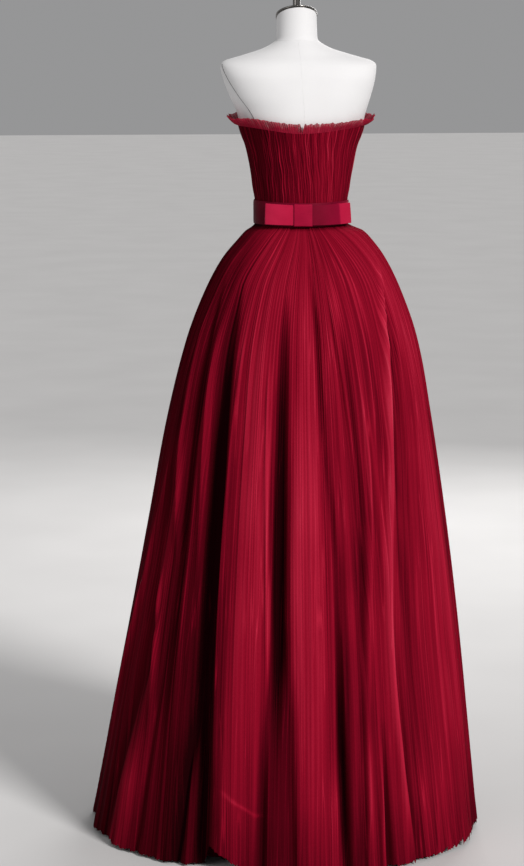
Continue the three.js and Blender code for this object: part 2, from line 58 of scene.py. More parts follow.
# The figure under the dress, from the neck down
FigureRow = namedtuple("FigureRow", "height side back front square lean sway rise", defaults=(2, 0, 0, 0))
FIGURE = [
    FigureRow(1732, 42, 43, 43, 2, -20, 7.5, 0.45),
    FigureRow(1712, 42.5, 43, 43, 2, -18, 7.5, 0.2),
    FigureRow(1686, 43.5, 44, 44, 2, -14, 7.5, 0),
    FigureRow(1681, 48, 48, 47, 2, -13, 7.5, 0),
    FigureRow(1668, 71, 58, 54, 1.9, -10, 7.5, 0),
    FigureRow(1652, 122, 68, 58, 1.7, -6, 6.5, 0),
    FigureRow(1640, 160, 76, 62, 1.8, -3, 6, 0),
    FigureRow(1632, 165.5, 80, 66, 2, -2, 6, 0),
    FigureRow(1602, 160, 88, 76, 2.3, 0, 4.5, 0),
    FigureRow(1568, 149, 92, 85, 2.3, 0, 2.5, 0),
    FigureRow(1534, 136, 93, 90, 2.2, 0, 0, 0),
    FigureRow(1501, 128.5, 91.5, 93, 2.1, 0, 0, 0),
    FigureRow(1484, 123, 90, 93.5),
    FigureRow(1468, 116.5, 88, 93),
    FigureRow(1435, 108.5, 85, 91),
    FigureRow(1400, 102.5, 82, 88),
    FigureRow(1350, 96.5, 79, 84),
    FigureRow(1325, 95, 77.5, 82.5),
    FigureRow(1300, 93, 75, 80),
    FigureRow(1275, 97, 81, 84),
    FigureRow(1240, 113, 96, 92),
    FigureRow(1180, 134, 112, 99),
    FigureRow(1120, 145, 118, 103),
    FigureRow(1056, 146, 117, 104),
]
CUP_OFFSET, CUP_WIDTH, CUP_HEIGHT, CUP_SPREAD, CUP_DEPTH = 32.0, 21.0, 1466.0, 42.0, 24.0

# The bodice: its clearance from the figure, and where its pleats open above the belt
BODICE_CLEARANCE, BODICE_WAIST_CLEARANCE, BODICE_CUP_SHARE = 1.6, 0.6, 0.26
BODICE_LOOSE_FROM, BODICE_LOOSE_TO = 1352.0, 1385.0
BODICE_WALL, BODICE_SEAM_RADIUS, BODICE_SEAM_SHARE = 1.4, 75.0, 0.1
BODICE_PLEAT_DEPTH, BODICE_PLEAT_FROM, BODICE_PLEAT_FULL = 1.1, 1345.0, 1375.0
BODICE_RINGS = 60
# The bodice's base level, and how much lighter its pleats' crests are painted
BODICE_SHADE, BODICE_CONTRAST = 0.46, 0.29
Panel = namedtuple("Panel", "name start end pleats seed")
BODICE_PANELS = [
    Panel("bodice_back_left", 0, 90, 31, 11),
    Panel("bodice_back_right", 90, 180, 31, 12),
    Panel("bodice_front", 180, 360, 62, 13),
]

# The skirt from the waist seam to the hem: "pleat" is the depth of the wide pleats, "fine" of the narrow ones
SkirtRow = namedtuple("SkirtRow", "height left right back front pleat fine")
SKIRT = [
    SkirtRow(1305, 98.4, 98.4, 80.9, 85.9, 0.6, 0.2),
    SkirtRow(1301.5, 98.6, 98.6, 81.1, 86.1, 0.9, 0.3),
    SkirtRow(1296.5, 102, 106, 85.5, 90.5, 1.3, 0.35),
    SkirtRow(1291, 109, 119, 93, 98, 1.7, 0.38),
    SkirtRow(1286, 117, 131, 100, 105, 2.0, 0.4),
    SkirtRow(1268, 134, 150, 121, 122, 2.8, 0.5),
    SkirtRow(1227, 168, 180, 158, 152, 3.0, 0.9),
    SkirtRow(1158, 205, 214, 198, 190, 2.8, 1.0),
    SkirtRow(1051, 246, 251, 240, 230, 2.9, 1.0),
    SkirtRow(890, 288, 281, 282, 268, 3.0, 1.0),
    SkirtRow(670, 330, 315, 326, 309, 3.1, 1.0),
    SkirtRow(360, 391, 353, 378, 356, 3.2, 0.95),
    SkirtRow(3, 461, 390, 418, 400, 3.4, 1.0),
]
SKIRT_PANELS = [
    Panel("skirt_back_left", 0, 90, 80, 21),
    Panel("skirt_back_right", 90, 180, 80, 22),
    Panel("skirt_front", 180, 360, 110, 23),
]
WIDE_PLEATS = 96

# Bands of the skirt's rings, each with its top, its bottom and its number of rings
HEM_HEIGHT = 3.0
SKIRT_RING_BANDS = [
    (WAIST_SEAM, 1281, 12),
    (1281, 1200, 16),
    (1200, 180, 66),
    (180, 100, 24),
    (100, HEM_HEIGHT, 9),
]

# The hem: its slanted steps, and how it rises beside the deepest fold of the back
Teeth = namedtuple("Teeth", "angle width height")
HEM_TEETH = [Teeth(148, 19, 14), Teeth(18, 16, 7), Teeth(232, 24, 5), Teeth(318, 20, 5)]
TOOTH_WIDTH, TOOTH_HEIGHT, TEETH_FROM, PLEAT_HEM_RISE = 3.4, 4.0, 70.0, 2.5
LIFT_FROM, LIFT_TO, LIFT_HEIGHT, LIFT_TOP = 55.0, 68.5, 50.0, 240.0

# How light the skirt is, the painted shade a full crease takes, the painted light a full ridge and a glint
# add, the painted shadow under the belt, and the painted shade and light of its pleats
SKIRT_SHADE = 0.56
CREASE_FULL, CREASE_LOSS, RIDGE_FULL, RIDGE_GAIN, GLINT_LIMIT = 30.0, 0.97, 13.0, 0.27, 1.2
PAINTED_BELT_SHADOW, WIDE_CONTRAST, NARROW_CONTRAST_LOW, NARROW_CONTRAST_HIGH = 0.3, 0.12, 0.09, 0.25

# Painted shade and painted light on parts of the skirt, darkening or lightening its colour there: the middle,
# half the width in degrees, the heights between which it lies, and the share of its lightness painted away
# (below zero, painted on)
Zone = namedtuple("Zone", "angle width low high loss")
PAINTED_SHADE_ZONES = [
    Zone(2, 27, -100, 1500, 0.45),
    Zone(0, 8, 200, 1300, 0.30),
    Zone(7, 4, 180, 520, -0.45),
    Zone(12, 5, 400, 640, -0.12),
    Zone(17, 4.5, 850, 1300, 0.35),
    Zone(24, 6, -100, 210, -0.40),
    Zone(22.5, 3, 700, 900, 0.15),
    Zone(32.5, 3.6, 300, 740, 0.32),
    Zone(31.5, 3.6, 920, 1250, 0.38),
    Zone(38, 8, -100, 1280, 0.22),
    Zone(43, 3.2, -100, 900, 0.28),
    Zone(42, 4, -100, 260, 0.35),
    Zone(52.6, 2.6, 600, 1010, 0.24),
    Zone(51, 3.5, 300, 600, 0.38),
    Zone(57, 4, -100, 880, 0.18),
    Zone(62, 4.5, -100, 700, 0.15),
    Zone(61, 5, 1000, 1230, -0.12),
    Zone(73, 4, -100, 360, 0.22),
    Zone(77.5, 3, 540, 960, -0.20),
    Zone(77, 3.5, -100, 380, 0.20),
    Zone(83, 5, 700, 1180, -0.14),
    Zone(87.4, 0.9, 510, 545, 0.20),
    Zone(97.5, 3, -100, 500, 0.15),
    Zone(101.5, 3, 260, 660, 0.28),
    Zone(103, 9, 560, 1300, 0.17),
    Zone(102, 3.5, 1090, 1210, -0.30),
    Zone(117, 4, 820, 1100, 0.25),
    Zone(122, 3, 680, 1000, -0.22),
    Zone(132, 4.5, 600, 920, 0.15),
    Zone(137, 4.5, 880, 1100, 0.20),
    Zone(138, 5, 380, 660, 0.10),
    Zone(139, 7, -100, 220, 0.14),
    Zone(148, 9, 1000, 1290, -0.14),
    Zone(158, 4, 560, 950, 0.18),
    Zone(166, 9, -100, 1500, 0.12),
    Zone(92, 3, -100, 200, -0.35),
    Zone(122, 15, -100, 200, -0.16),
    Zone(198, 16, -100, 1500, 0.18),
    Zone(248, 13, -100, 1500, 0.20),
    Zone(291, 15, -100, 1500, 0.18),
    Zone(330, 14, -100, 1500, 0.20),
]
ZONE_SOFT_EDGE = 70.0

# Painted shade, darker towards the hem: the share of the light kept at each height of the skirt
HEM_SHADE_HEIGHTS = [0, 65, 150, 250, 350, 500, 700, 900]
HEM_SHADE_SHARES = [0.60, 0.66, 0.78, 0.84, 0.88, 0.93, 0.97, 1]

# How the pleats run: the angle at the hem and the angles of the same pleat further up
GUIDE_HEIGHTS = [0, 400, 700, 900, 1080, 1180, 1260, 1305]
GUIDES = [
    [0] * 8,
    [27, 26, 25, 23, 21, 22, 25, 27],
    [52.5, 49.5, 47.5, 46, 44, 44.5, 50, 54],
    [72, 71.5, 70.5, 70, 69.5, 70.5, 74, 76],
    [90] * 8,
    [105, 104.5, 105, 105, 104, 102, 99.5, 98.5],
    [117, 115, 119, 124, 128, 129, 124, 119],
    [140, 139, 142, 146, 149, 151, 149, 145],
    [180] * 8,
    [225, 224, 222, 219, 217, 216, 219, 223],
    [270] * 8,
    [315, 316, 319, 321, 323, 323, 319, 316],
    [360] * 8,
]

# The creases of the skirt's back. Each has half its width in degrees, and the height, angle
# and depth of points along it. A depth below zero is a ridge.
Crease = namedtuple("Crease", "width path")
CREASES = [
    Crease(3.8, [(0, 50.4, 36), (200, 49.3, 42), (400, 47.9, 46), (700, 46.0, 44), (900, 44.1, 36),
        (1080, 41.6, 20), (1190, 39.5, 0)]),
    Crease(1.6, [(0, 48.3, -17), (150, 48, -16), (280, 47.6, -9), (380, 47.2, 0)]),
    Crease(1.1, [(0, 44.4, 18), (150, 44.8, 15), (330, 45.8, 6), (420, 46.5, 0)]),
    Crease(2.0, [(0, 36, 5), (300, 35, 8), (500, 34.2, 11), (700, 32.6, 17), (900, 30.6, 20),
        (1000, 28.9, 18), (1100, 26.6, 12), (1190, 23.4, 0)]),
    Crease(2.5, [(120, 73.2, 0), (230, 73.3, 7), (350, 73.5, 22), (450, 73.7, 34), (600, 73.3, 38),
        (750, 73, 36), (900, 72.7, 32), (1050, 72.2, 18), (1170, 71.6, 0)]),
    Crease(1.5, [(0, 79, 14), (150, 78.4, 14), (300, 77.8, 10), (420, 77, 4), (520, 76.5, 0)]),
    Crease(1.2, [(0, 70, 13), (150, 70, 12), (280, 70.4, 5), (400, 71, 0)]),
    Crease(1.4, [(0, 95, 20), (150, 94.5, 25), (300, 94.1, 23), (450, 94.2, 15), (600, 94.4, 9),
        (700, 93.2, 7), (800, 91.7, 7), (900, 90.6, 8), (1000, 90, 9), (1100, 89.4, 9), (1170, 87.6, 5),
        (1240, 85.6, 0)]),
    Crease(1.2, [(380, 101.2, 0), (480, 101.6, 6), (600, 103.6, 9), (750, 104.8, 9), (900, 104.4, 9),
        (1040, 103, 7), (1140, 101.4, 0)]),
    Crease(0.8, [(560, 104.2, 0), (650, 103.4, 4), (780, 102.2, 6), (900, 101, 6), (1020, 99.6, 6),
        (1120, 97.8, 4), (1200, 96, 0)]),
    Crease(2.0, [(0, 119.5, 4), (400, 120.5, 7), (600, 121.4, 9), (800, 124.6, 11), (950, 128.2, 11),
        (1050, 131.5, 9), (1120, 136, 6), (1175, 142, 0)]),
    Crease(1.2, [(500, 124.5, 0), (700, 126.5, 4), (850, 129.6, 6), (1000, 133, 6), (1080, 136.5, 4),
        (1150, 141, 0)]),
    Crease(2.4, [(0, 14.5, 9), (100, 15.5, 10), (200, 17.5, 11), (300, 20, 11), (400, 22, 10),
        (600, 20.8, 8), (750, 19.5, 5), (850, 18, 0)]),
    Crease(1.3, [(0, 118.5, 10), (100, 117, 12), (200, 115.4, 11), (350, 114.3, 8), (500, 114.2, 4),
        (600, 115, 0)]),
    Crease(1.1, [(0, 108.3, 12), (150, 107.7, 10), (260, 107.7, 4), (320, 107.7, 0)]),
    Crease(1.0, [(0, 100, 9), (150, 100.3, 8), (300, 100.6, 5), (420, 101, 0)]),
    Crease(1.3, [(300, 24.5, 0), (400, 24.2, 6), (480, 25.3, 5), (560, 26, 0)]),
    Crease(1.3, [(0, 30.5, 9), (100, 31, 9), (300, 31.6, 7), (450, 32, 4), (550, 32, 0)]),
    Crease(4.2, [(0, 23.5, -7), (120, 24, -8), (210, 25.2, -4), (290, 26.2, 0)]),
    Crease(1.5, [(540, 34.5, 0), (620, 32, -4), (700, 28.9, -7), (800, 25.3, -8), (900, 22.3, -8),
        (1000, 20.6, -7), (1080, 19.6, -5), (1150, 18.8, 0)]),
    Crease(1.8, [(150, 3, 0), (250, 4.6, -6), (350, 6.2, -8), (450, 8.8, -9), (550, 11.4, -8),
        (650, 13.4, -7), (760, 15.2, -5), (860, 17, 0)]),
    Crease(1.4, [(240, 29.6, 0), (320, 29, -4), (400, 27.8, -7), (500, 25, -7), (600, 22.7, -5),
        (700, 21.4, 0)]),
    Crease(1.2, [(380, 44.4, 0), (500, 43.6, -5), (600, 42.4, -7), (700, 41, -8), (800, 39.4, -8),
        (950, 36.4, -8), (1040, 34.8, -6), (1120, 33.8, 0)]),
    Crease(0.8, [(640, 44, 0), (740, 42.8, -4), (850, 41.2, -5), (960, 38.8, -5), (1060, 36.5, 0)]),
    Crease(1.0, [(150, 55.4, 0), (300, 54.2, -4), (500, 52.6, -6), (700, 52, -8), (900, 51.8, -8),
        (1000, 51.6, -5), (1090, 51, 0)]),
    Crease(0.9, [(250, 70.8, 0), (400, 70.7, -6), (500, 70.2, -8), (650, 69.2, -8), (800, 67.9, -7),
        (950, 66.8, -7), (1040, 66, 0)]),
    Crease(1.2, [(150, 98.8, 0), (300, 98.5, -5), (500, 98.4, -6), (700, 98, -6), (1000, 97, -4),
        (1100, 96, 0)]),
    Crease(1.7, [(0, 102.4, -4), (100, 102, -9), (200, 101.8, -12), (300, 102, -13), (400, 102.9, -13),
        (500, 104.2, -12), (600, 105.3, -9), (720, 106, 0)]),
    Crease(1.8, [(0, 117.4, -5), (80, 115.6, -10), (200, 113.5, -13), (300, 112.1, -15), (400, 111.5, -15),
        (500, 111.9, -16), (600, 113.2, -17), (700, 115.6, -17), (800, 118.4, -17), (900, 121.2, -17),
        (1000, 124.4, -16), (1080, 128, -13), (1140, 133, -10), (1190, 141, -5), (1230, 149, 0)]),
    Crease(1.2, [(560, 111, 0), (650, 111.4, -5), (780, 111.9, -7), (880, 111.8, -5), (960, 111.4, 0)]),
    Crease(0.8, [(560, 106.2, 0), (650, 107.2, -6), (740, 108.4, -7), (850, 109.3, -6), (960, 109, -4),
        (1060, 108, 0)]),
    Crease(1.0, [(600, 126, 0), (750, 128.6, -4), (900, 131.4, -5), (1000, 134, -4), (1080, 137.5, 0)]),
    Crease(0.8, [(0, 105.4, -6), (100, 105.9, -8), (200, 106.6, -6), (280, 107.2, 0)]),
    Crease(5.0, [(0, 84, -6), (300, 84, -10), (700, 84, -8), (950, 84, 0)]),
    Crease(6.0, [(0, 61.5, -10), (300, 61.5, -14), (700, 61.5, -12), (950, 61, -6), (1100, 60, 0)]),
    Crease(9.0, [(0, 142, -8), (500, 142, -8), (900, 146, -4), (1050, 148, 0)]),
]

# Painted highlights: pale streaks put into the cloth's colour alone, with no relief, written as the creases
# are
PAINTED_GLINTS = [
    Crease(1.4, [(117, 70, 0), (124, 68.4, 9), (133, 65.4, 12), (144, 62.2, 14), (156, 60, 10),
        (168, 58.2, 0)]),
    Crease(0.5, [(560, 42.9, 0), (650, 42.1, 6), (750, 41.2, 8), (850, 40, 8), (950, 38.2, 5),
        (1010, 37, 0)]),
    Crease(0.4, [(300, 70.4, 0), (450, 70.5, 5), (600, 69.8, 6), (800, 68.4, 6), (950, 67.2, 0)]),
    Crease(0.4, [(640, 103.6, 0), (760, 102.8, 6), (880, 101.4, 7), (1000, 99.8, 6), (1120, 98, 0)]),
    Crease(0.4, [(640, 104.8, 0), (760, 104.2, 5), (880, 102.8, 6), (1000, 101, 5), (1120, 99, 0)]),
    Crease(0.5, [(600, 108, 0), (740, 109, 6), (860, 109.3, 6), (960, 109, 0)]),
    Crease(0.5, [(450, 24.6, 0), (520, 25.6, 5), (600, 24.6, 0)]),
]

# The deep folds of the sides and the front: the angle of the trough at the hem, how far that angle moves
# towards the waist, the depth at the hem, half the width in degrees and the height where the fold begins
Fold = namedtuple("Fold", "angle drift depth width start")
FOLDS = [
    Fold(153, 6, 5, 5, 1100),
    Fold(171, 3, 16, 4.5, 980),
    Fold(186, 2, 22, 5, 1080),
    Fold(203, 6, 36, 7, 1180),
    Fold(221, 1, 18, 4.5, 900),
    Fold(238, 3, 28, 6, 1130),
    Fold(256, -1, 20, 4.5, 980),
    Fold(274, 2, 38, 7, 1190),
    Fold(291, -4, 20, 4.5, 1040),
    Fold(306, -3, 30, 6, 1150),
    Fold(322, -6, 19, 4.5, 930),
    Fold(339, -4, 30, 6, 1120),
    Fold(357, -3, 16, 4, 1060),
]

# The plain under layer
LiningRow = namedtuple("LiningRow", "height left right back front")
LINING = [
    LiningRow(1303, 96.1, 96.1, 78.6, 83.6),
    LiningRow(1295, 96, 96, 78.5, 83.5),
    LiningRow(1280, 106, 114, 91, 96),
    LiningRow(1227, 152, 163, 142, 136),
    LiningRow(1051, 224, 229, 218, 208),
    LiningRow(670, 291, 277, 287, 270),
    LiningRow(9, 396, 326, 353, 336),
]
LINING_WAVES, LINING_WAVE_DEPTH, LINING_CLEARANCE, LINING_WALL = 10, 7.0, 2.5, 1.2
LINING_COLUMNS, LINING_RINGS = 240, 60

# The gathered strip along the top edge
FRILL_LAP, FRILL_HEIGHT, FRILL_SIDE_EXTRA = 2.0, 21.5, 2.0
FRILL_WAVES, FRILL_WAVE_DEPTH, FRILL_RINGS, FRILL_GAP = 150, 2.4, 9, 0.9
FRILL_FLARE_BACK, FRILL_FLARE_SIDE, FRILL_FLARE_FRONT = 7.0, 16.0, 9.0
FRILL_NOTCH_SHARE, FRILL_NOTCH_WIDTH = 0.35, 3.2
FRILL_TURNED_DOWN, FRILL_TURN_WIDTH = (164, 13), 9

# The waist band and its flat bow
BELT_HEIGHT, BELT_BOTTOM, BELT_GAP, BELT_WALL = 49.0, 1302.0, 3.1, 2.0
BELT_LEVEL_FROM, BELT_ROUNDING, BELT_COLUMNS, BELT_ROWS = 1350.0, 0.7, 240, 15
SATIN_WALL = 1.5
BOW_MIDDLE, BOW_LAYER_GAP, BOW_BELT_GAP, BOW_HEIGHT, BOW_BULGE = 84.0, 6.5, 0.5, 42.5, 0.25
BOW_COLUMNS, BOW_FOLD_COLUMNS, BOW_ROWS = 34, 16, 13
# Painted light and shade on each loop: near_shade and far_shade set how light it is painted near the knot and
# at its end, the left loop lit and the right one shaded; a painted highlight on the fold starts at the share
# of the way given by fold
Loop = namedtuple("Loop", "name end lift slant near_shade far_shade fold fold_shade")
BOW_LOOPS = [
    Loop("bow_loop_left_satin", 36.5, 3.0, 0.5, 0.80, 0.92, 0.95, 0.05),
    Loop("bow_loop_right_satin", 150.0, 7.0, 2.4, 0.37, 0.50, 0.74, 0.26),
]
# Painted light levels of the satin: the knot is painted lit and the belt shaded
KNOT_SHADE, BELT_SHADE = 0.62, 0.34
KNOT_FROM, KNOT_TO, KNOT_HEIGHT, KNOT_RISE, KNOT_CORNER, KNOT_COLUMNS = 72.0, 96.0, 47.5, 12.7, 2.5, 22

# The form's cover and its fittings
TORSO_COLUMNS, TORSO_RINGS = 128, 190
CAP_RADIUS, CAP_THICKNESS, CAP_GAP = 44.0, 4.0, 0.3
POST_RADIUS, POST_TOP, KNOB_RADIUS, KNOB_HEIGHT = 8.0, 1790.0, 13.0, 16.0
POLE_RADIUS, BASE_RADIUS, BASE_HEIGHT, STAND_GAP = 14.0, 165.0, 12.0, 0.3
PLATE_JOINT_TOP, NECK_SEAM, BACK_SEAM_TOP, SEAMS_END = 1634.0, 1683.0, 1680.0, 1490.0

# The colours of each material, from its darkest to its lightest places
TULLE_STOPS = [
    (0.0, (0.010, 0.0002, 0.0010)),
    (0.25, (0.066, 0.0006, 0.0048)),
    (0.5, (0.200, 0.0027, 0.0140)),
    (0.72, (0.340, 0.0105, 0.0320)),
    (1.0, (0.550, 0.0460, 0.0860)),
]
SHEER_STOPS = [
    (0.0, (0.13, 0.003, 0.012)),
    (0.5, (0.34, 0.012, 0.036)),
    (1.0, (0.62, 0.090, 0.130)),
]
LINING_STOPS = [
    (0.0, (0.01, 0.0004, 0.001)),
    (0.5, (0.06, 0.001, 0.005)),
    (1.0, (0.14, 0.003, 0.012)),
]
SATIN_STOPS = [
    (0.0, (0.030, 0.0006, 0.0040)),
    (0.3, (0.110, 0.0010, 0.0110)),
    (0.5, (0.200, 0.0018, 0.0210)),
    (0.75, (0.360, 0.0070, 0.0370)),
    (1.0, (0.500, 0.0150, 0.0600)),
]
COVER_STOPS = [(0.2, (0.62, 0.618, 0.625)), (0.8, (0.70, 0.697, 0.70))]
FLOOR_STOPS = [(0.3, (0.56, 0.557, 0.555)), (0.7, (0.59, 0.587, 0.585))]
CHROME, STEEL = (0.22, 0.21, 0.20), (0.6, 0.6, 0.6)
JOINT_COLOR, FAINT_COLOR = (0.03, 0.03, 0.032), (0.72, 0.72, 0.72)

# Half the width of the floor
FLOOR_HALF = 40000.0

# The camera, in metres: behind the dress, a little to the wearer's left
CAMERA_PLACE = Vector((0.8135, 5.136, 1.68))
CAMERA_AZIMUTH, CAMERA_YAW, CAMERA_PITCH = 171.0, 0.912, 9.07
CAMERA_LENS, SENSOR_HEIGHT = 67.87, 24.0

# The key light: where it comes from, its strength, how wide it looks in degrees, and its colour
KEY_FROM, KEY_STRENGTH, KEY_SPREAD, KEY_COLOR = (-0.47, 0.88, 0.56), 3.3, 14.0, (1.0, 0.98, 0.965)

# The soft square lamps, with places in metres, and the light of the room
Lamp = namedtuple("Lamp", "name place target power color")
LAMPS = [
    Lamp("fill", (3.4, 2.6, 2.2), (0, 0, 1.2), 24, (1.0, 0.99, 0.98)),
    Lamp("front", (-1.5, -3.8, 2.6), (0, 0, 1.0), 90, (1.0, 0.98, 0.97)),
]
LAMP_SIZE = 2.0
ROOM_COLOR, ROOM_STRENGTH = (0.80, 0.80, 0.81, 1), 0.38


def sine(angle):
    return np.sin(np.radians(angle))


def cosine(angle):
    return np.cos(np.radians(angle))


def smooth_step(value, low, high):
    share = np.clip((value - low) / (high - low), 0, 1)
    return share * share * (3 - 2 * share)


def blend(low, high, share):
    return low + (high - low) * share


def near_angle(angle, centre, width):
    """A bell curve of an angle about another."""
    turn = (angle - centre + 180) % TURN - 180
    return np.exp(-((turn / width) ** 2))


def curve_through(places, values, at):
    """A smooth curve through points, with no overshoot between them."""
    places, values = np.asarray(places, float), np.asarray(values, float)
    if places[0] > places[-1]:
        places, values = places[::-1], values[::-1]
    steps = np.diff(places)
    slopes = np.diff(values) / steps
    tangents = np.concatenate([slopes[:1], np.zeros(len(slopes) - 1), slopes[-1:]])
    same = slopes[:-1] * slopes[1:] > 0
    before, after = 2 * steps[1:] + steps[:-1], steps[1:] + 2 * steps[:-1]
    safe = np.where(same, slopes[:-1], 1), np.where(same, slopes[1:], 1)
    mean = (before + after) / (before / safe[0] + after / safe[1])
    tangents[1:-1] = np.where(same, mean, 0)
    at = np.clip(at, places[0], places[-1])
    k = np.clip(np.searchsorted(places, at) - 1, 0, len(steps) - 1)
    t = (at - places[k]) / steps[k]
    low = (1 + 2 * t) * (1 - t) ** 2 * values[k] + t * (1 - t) ** 2 * steps[k] * tangents[k]
    high = t * t * (3 - 2 * t) * values[k + 1] - t * t * (1 - t) * steps[k] * tangents[k + 1]
    return low + high


def section_at(table, height):
    """The sizes of a table at any heights, by name."""
    heights = [row.height for row in table]
    names = [name for name in table[0]._fields if name != "height"]
    return {name: curve_through(heights, [getattr(row, name) for row in table], height) for name in names}


def outline(half_x, half_y, angle, square=2.0):
    """The distance from the axis to an outline with these half widths."""
    across, deep = np.abs(cosine(angle) / half_x), np.abs(sine(angle) / half_y)
    return (across**square + deep**square) ** (-1 / square)


def garment_outline(section, angle):
    half_x = np.where(cosine(angle) > 0, section["left"], section["right"])
    half_y = np.where(sine(angle) > 0, section["back"], section["front"])
    return outline(half_x, half_y, angle)


def cup_relief(angle, height):
    upright = np.exp(-(((height - CUP_HEIGHT) / CUP_SPREAD) ** 2))
    left = near_angle(angle, CENTRE_FRONT + CUP_OFFSET, CUP_WIDTH)
    right = near_angle(angle, CENTRE_FRONT - CUP_OFFSET, CUP_WIDTH)
    return CUP_DEPTH * upright * (left + right)


def figure_radius(angle, height):
    section = section_at(FIGURE, height)
    half_y = np.where(sine(angle) > 0, section["back"], section["front"])
    return outline(section["side"], half_y, angle, section["square"]) + cup_relief(angle, height)


def around(angle, radius, height):
    """Points from angles, distances from the axis and heights."""
    return np.stack(np.broadcast_arrays(radius * cosine(angle), radius * sine(angle), height), axis=-1)


def waist_dip(angle, height):
    """The waist sits a little lower at the centre back."""
    nearness = np.exp(-(((height - WAIST_DIP_HEIGHT) / WAIST_DIP_SPREAD) ** 2))
    return WAIST_DIP * np.maximum(0, sine(angle)) ** 2 * nearness


def leaning_angle(angle, height):
    """The centre-back seam of the bodice leans to the wearer's left as it goes up."""
    grown = smooth_step(height, SEAM_LEAN_FROM, TOP_EDGE_BACK)
    return angle - SEAM_LEAN * grown * near_angle(angle, CENTRE_BACK, SEAM_LEAN_WIDTH)


def top_edge(angle):
    deep = sine(angle)
    end = np.where(deep > 0, TOP_EDGE_BACK, TOP_EDGE_FRONT)
    dip = TOP_EDGE_DIP * near_angle(angle, CENTRE_FRONT, TOP_EDGE_DIP_WIDTH)
    return blend(TOP_EDGE_SIDE, end, deep * deep) - dip


def bodice_inner(angle, height):
    looser = smooth_step(height, BODICE_LOOSE_FROM, BODICE_LOOSE_TO)
    clearance = blend(BODICE_WAIST_CLEARANCE, BODICE_CLEARANCE, looser)
    return figure_radius(angle, height) + clearance + BODICE_CUP_SHARE * cup_relief(angle, height)


# Meshes


def mesh_object(name, points, quads, material, uv=None, shade=None, crisp=40.0):
    """An object from points in millimetres and four-sided faces."""
    mesh = bpy.data.meshes.new(name)
    points = np.asarray(points, float).reshape(-1, 3) * MM
    quads = np.asarray(quads, np.int32).reshape(-1, 4)
    mesh.vertices.add(len(points))
    mesh.vertices.foreach_set("co", points.ravel())
    mesh.loops.add(quads.size)
    mesh.loops.foreach_set("vertex_index", quads.ravel())
    mesh.polygons.add(len(quads))
    mesh.polygons.foreach_set("loop_start", np.arange(0, quads.size, 4, dtype=np.int32))
    mesh.update(calc_edges=True)
    if uv is not None:
        layer = mesh.uv_layers.new(name="cloth")
        layer.data.foreach_set("uv", np.asarray(uv, float).reshape(-1, 2)[quads.ravel()].ravel())
    if shade is not None:
        mesh.attributes.new("shade", "FLOAT", "POINT").data.foreach_set("value", np.ravel(shade))
    mesh.validate()
    mesh.shade_smooth()
    mesh.set_sharp_from_angle(angle=math.radians(crisp))
    mesh.materials.append(material.data)
    piece = bpy.data.objects.new(name, mesh)
    bpy.context.scene.collection.objects.link(piece)
    return piece


def grid_quads(rings, columns, is_tube=False, first=0, facing_in=False):
    """Faces of a grid of points whose rings run downwards and whose columns run the way the angle grows."""
    last = columns if is_tube else columns - 1
    ring, column = np.meshgrid(np.arange(rings - 1), np.arange(last), indexing="ij")
    after = (column + 1) % columns
    corners = [(ring + 1) * columns + column, (ring + 1) * columns + after, ring * columns + after,
               ring * columns + column]
    quads = np.stack(corners, axis=-1).reshape(-1, 4) + first
    return quads[:, ::-1] if facing_in else quads


def wall_quads(rings, columns, is_tube=False):
    """Faces of a closed wall: an outer grid, an inner grid and the rims between them."""
    inside = rings * columns
    index = np.arange(inside).reshape(rings, columns)
    faces = [grid_quads(rings, columns, is_tube), grid_quads(rings, columns, is_tube, inside, True)]
    rims = [(index[0], False), (index[-1], True)]
    if is_tube:
        rims = [(np.append(line, line[0]), flip) for line, flip in rims]
    else:
        rims += [(index[:, 0], True), (index[:, -1], False)]
    for line, flip in rims:
        rim = np.stack([line[:-1], line[1:], line[1:] + inside, line[:-1] + inside], axis=-1)
        faces.append(rim[:, ::-1] if flip else rim)
    return np.concatenate(faces)


def wall_object(name, outer, inner, material, uv, shade, is_tube=False, crisp=40.0):
    """A closed wall between an outer and an inner grid of points."""
    quads = wall_quads(*outer.shape[:2], is_tube)
    uv, shade = np.stack([uv, uv]), np.stack([shade, shade])
    return mesh_object(name, np.stack([outer, inner]), quads, material, uv, shade, crisp)


def cloth_map(along, up):
    return np.stack(np.broadcast_arrays(along, up), axis=-1)


def finish(piece, node):
    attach(piece, "root")
    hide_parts(node)
    return piece


def pleat_columns(panel, widths=(0.6, 1.4)):
    """The columns of a panel's uneven pleats, as rows of one ring: their angles, how near each is to its
    crest, and each pleat's own strength and phase."""
    rng = np.random.default_rng(panel.seed)
    shares = rng.uniform(*widths, panel.pleats)
    edges = panel.start + (panel.end - panel.start) * np.concatenate([[0], np.cumsum(shares)]) / shares.sum()
    crests = rng.uniform(0.34, 0.66, panel.pleats)
    strength = rng.uniform(0.45, 1.25, panel.pleats) * np.where(rng.uniform(size=panel.pleats) < 0.16, 1.5, 1)
    phase = rng.uniform(0, 2 * math.pi, panel.pleats)
    angles, nearness, number = [], [], []
    for pleat in range(panel.pleats):
        crest = crests[pleat]
        stops = [(0, 0), (0.5 * crest, 0.3), (0.86 * crest, 0.85), (crest, 1)]
        stops += [(crest + 0.16 * (1 - crest), 0.82), (crest + 0.55 * (1 - crest), 0.28)]
        for share, height in stops:
            angles.append(blend(edges[pleat], edges[pleat + 1], share))
            nearness.append(height)
            number.append(pleat)
    angles.append(panel.end)
    nearness.append(0)
    number.append(panel.pleats - 1)
    rows = np.array(angles), np.array(nearness), strength[number], phase[number]
    return [row[None, :] for row in rows]


def seam_inset(panel, hem_angles, radius):
    """Moves a panel's first and last columns in by half the gap of a seam."""
    inset = np.degrees(SEAM_GAP / 2 / radius)
    first = (hem_angles == panel.start) * 1.0
    last = (hem_angles == panel.end) * 1.0
    return inset * (first - last)


# The skirt


